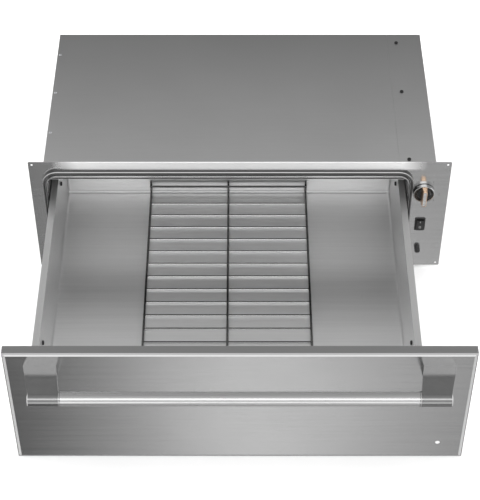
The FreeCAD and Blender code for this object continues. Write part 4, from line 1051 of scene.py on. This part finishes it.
# %% [markdown]
# ## The studio
# Brushed steel has hardly any colour of its own: it shows the room. So the light here is the room, one
# white tent with a few darker panels in it, painted on the world by direction and not as lamps. Each
# face of the drawer mirrors one band of the tent. The front and the flange look down in front of it, the
# casing's lid looks up behind it, and the bevel looks up in front. A ramp over the angle in the YZ plane
# sets those bands: 0 degrees is level in front, 90 is up, and -90 is down. A second ramp is for what
# stands to the sides. Lamps would leave hard spots in the tube and the bevels, which a tent doesn't.

# %% A tent
TENT_POWER = 4.0  # the ramps stay below 1, and the background's strength makes up for it


class Tent(Graph):
    """The world's light as ramps over direction."""

    def __init__(self, world):
        world.use_nodes = True
        super().__init__(world.node_tree)
        way = self.node("ShaderNodeTexCoord").outputs["Generated"]
        parts = self.node("ShaderNodeSeparateXYZ", Vector=way)
        up = self.number(parts.outputs["Z"])
        front = 0 - self.number(parts.outputs["Y"])
        self.across = self.number(parts.outputs["X"])
        self.turn = up.angle(front) * (0.5 / math.pi) + 0.5

    def by_turn(self, stops):
        """A ramp over (degrees, height) in the YZ plane."""
        places = [((degrees + 180) / 360, height) for degrees, height in stops]
        return self.number(self.node("ShaderNodeValToRGB", {"stops": places}, Fac=self.turn).outputs[0])

    def by_side(self, stops):
        """A ramp over (x, height), from -1 at the left to 1 at the right."""
        places = [((x + 1) / 2, height) for x, height in stops]
        fraction = self.across * 0.5 + 0.5
        return self.number(self.node("ShaderNodeValToRGB", {"stops": places}, Fac=fraction).outputs[0])

    def beyond(self, low, high):
        """0 in the middle and 1 at the sides, with a smooth change from low to high across."""
        span = self.node("ShaderNodeMapRange", {"interpolation_type": "SMOOTHSTEP"},
                         Value=self.across.size(), From_Min=low, From_Max=high)
        return self.number(span.outputs[0])


def bright(stops):
    """Brings stops of brightness down to what the background's strength brings up again."""
    return [(where, brightness / TENT_POWER) for where, brightness in stops]


world = bpy.data.worlds.new("tent")
bpy.context.scene.world = world
tent = Tent(world)
print("tent of power", TENT_POWER)

# %% [markdown]
# The middle of the tent carries most of the bands. Below the horizon in front, what the front and the
# flange mirror also changes from left to right, so both get a ramp across, let in by a mask over the
# turn. To the sides the tent is plainer, and at its two ends it is one even grey.

# %% The tent's panels
WING_BRIGHTNESS = 0.6
middle_band = tent.by_turn(bright([
    (-180, 0.9), (-120, 0.5), (-90, 0.4), (-68, 0.25), (-60, 0.0), (-30, 0.0), (-25, 0.2), (-17, 1.3),
    (-7, 1.8), (2, 0.8), (25, 0.6), (36, 1.0), (42, 2.5), (50, 2.5), (58, 0.8), (65, 0.6), (100, 0.45),
    (120, 0.32), (129, 0.34), (135, 0.66), (139, 0.45), (144, 0.2), (150, 0.4), (158, 0.9), (170, 1.0),
    (180, 0.9)]))
side_band = tent.by_turn(bright([
    (-180, 0.7), (-120, 0.7), (-105, 1.6), (-75, 1.6), (-60, 0.7), (-10, 0.8), (30, 0.6), (60, 0.6),
    (100, 0.9), (130, 1.0), (150, 1.2), (180, 0.9)]))
front_sees = tent.by_side(bright([
    (-0.45, 0.2), (-0.2, 0.05), (-0.13, 0.1), (-0.06, 0.6), (0.0, 1.2), (0.05, 1.0), (0.12, 0.5), (0.2, 0.4),
    (0.45, 0.6)]))
flange_sees = tent.by_side(bright([
    (-0.45, 0.4), (-0.15, 0.1), (-0.08, 0.4), (0.0, 0.5), (0.08, 0.3), (0.16, 0.35), (0.3, 0.6),
    (0.45, 0.8)]))
front_mask = tent.by_turn([(-70, 0.0), (-62, 0.65), (-56, 0.7), (-50, 1.4), (-46, 0.0)])
flange_mask = tent.by_turn([(-50, 0.0), (-46, 1.0), (-30, 1.0), (-22, 0.0)])
sides = tent.beyond(0.3, 0.48)
wings = tent.beyond(0.8, 0.93)
light = middle_band + front_sees * front_mask + flange_sees * flange_mask
light = light * (1 - sides) + side_band * sides
light = light * (1 - wings) + WING_BRIGHTNESS * wings
backdrop = tent.tree.nodes["Background"]
backdrop.inputs["Strength"].default_value = TENT_POWER
tent.feed(backdrop.inputs["Color"], light)
print("tent hung, with", len(tent.tree.nodes), "nodes")

# %% [markdown]
# The floor and the plastics are dull and take a plain soft lamp from above as well. Metal would mirror
# it as a hard square, so the lamp is hidden from glossy rays.

# %% The lamp
LAMP_WATTS = 118.0
LAMP_SIZE = 4.0
LAMP_HEIGHT = 2.8
lamp_light = bpy.data.lights.new("overhead", "AREA")
lamp_light.shape = "RECTANGLE"
lamp_light.size = LAMP_SIZE
lamp_light.size_y = LAMP_SIZE
lamp_light.energy = LAMP_WATTS
lamp = bpy.data.objects.new("overhead", lamp_light)
lamp.location = (0, 0, LAMP_HEIGHT)
lamp.visible_glossy = False
bpy.context.scene.collection.objects.link(lamp)
print("lamp of", LAMP_WATTS, "W")

# %% [markdown]
# ## The camera
# The drawer is seen from the front and from above, nearly along the diagonal of its side, through a
# long lens that keeps its edges almost parallel. The slight shift only centres the drawer in the frame.
# Turning the camera would do that too, but would also change how the drawer's edges run together.

# %% Camera
CAMERA_PLACE = (0, -1.985226, 1.99594)
DOWNWARDS = math.radians(45.93487)
camera = bpy.data.objects.new("camera", bpy.data.cameras.new("camera"))
bpy.context.scene.collection.objects.link(camera)
camera.data.sensor_fit = "VERTICAL"
camera.data.sensor_height = 36.0
camera.data.lens = 110.07
camera.data.shift_x = 0.0002
camera.data.shift_y = -0.02775
camera.data.clip_end = 100.0
camera.location = CAMERA_PLACE
camera.rotation_euler = (math.pi / 2 - DOWNWARDS, 0, 0)
bpy.context.scene.camera = camera
bpy.context.scene.view_settings.view_transform = "Standard"
print("camera with a lens of", round(camera.data.lens, 2), "mm")
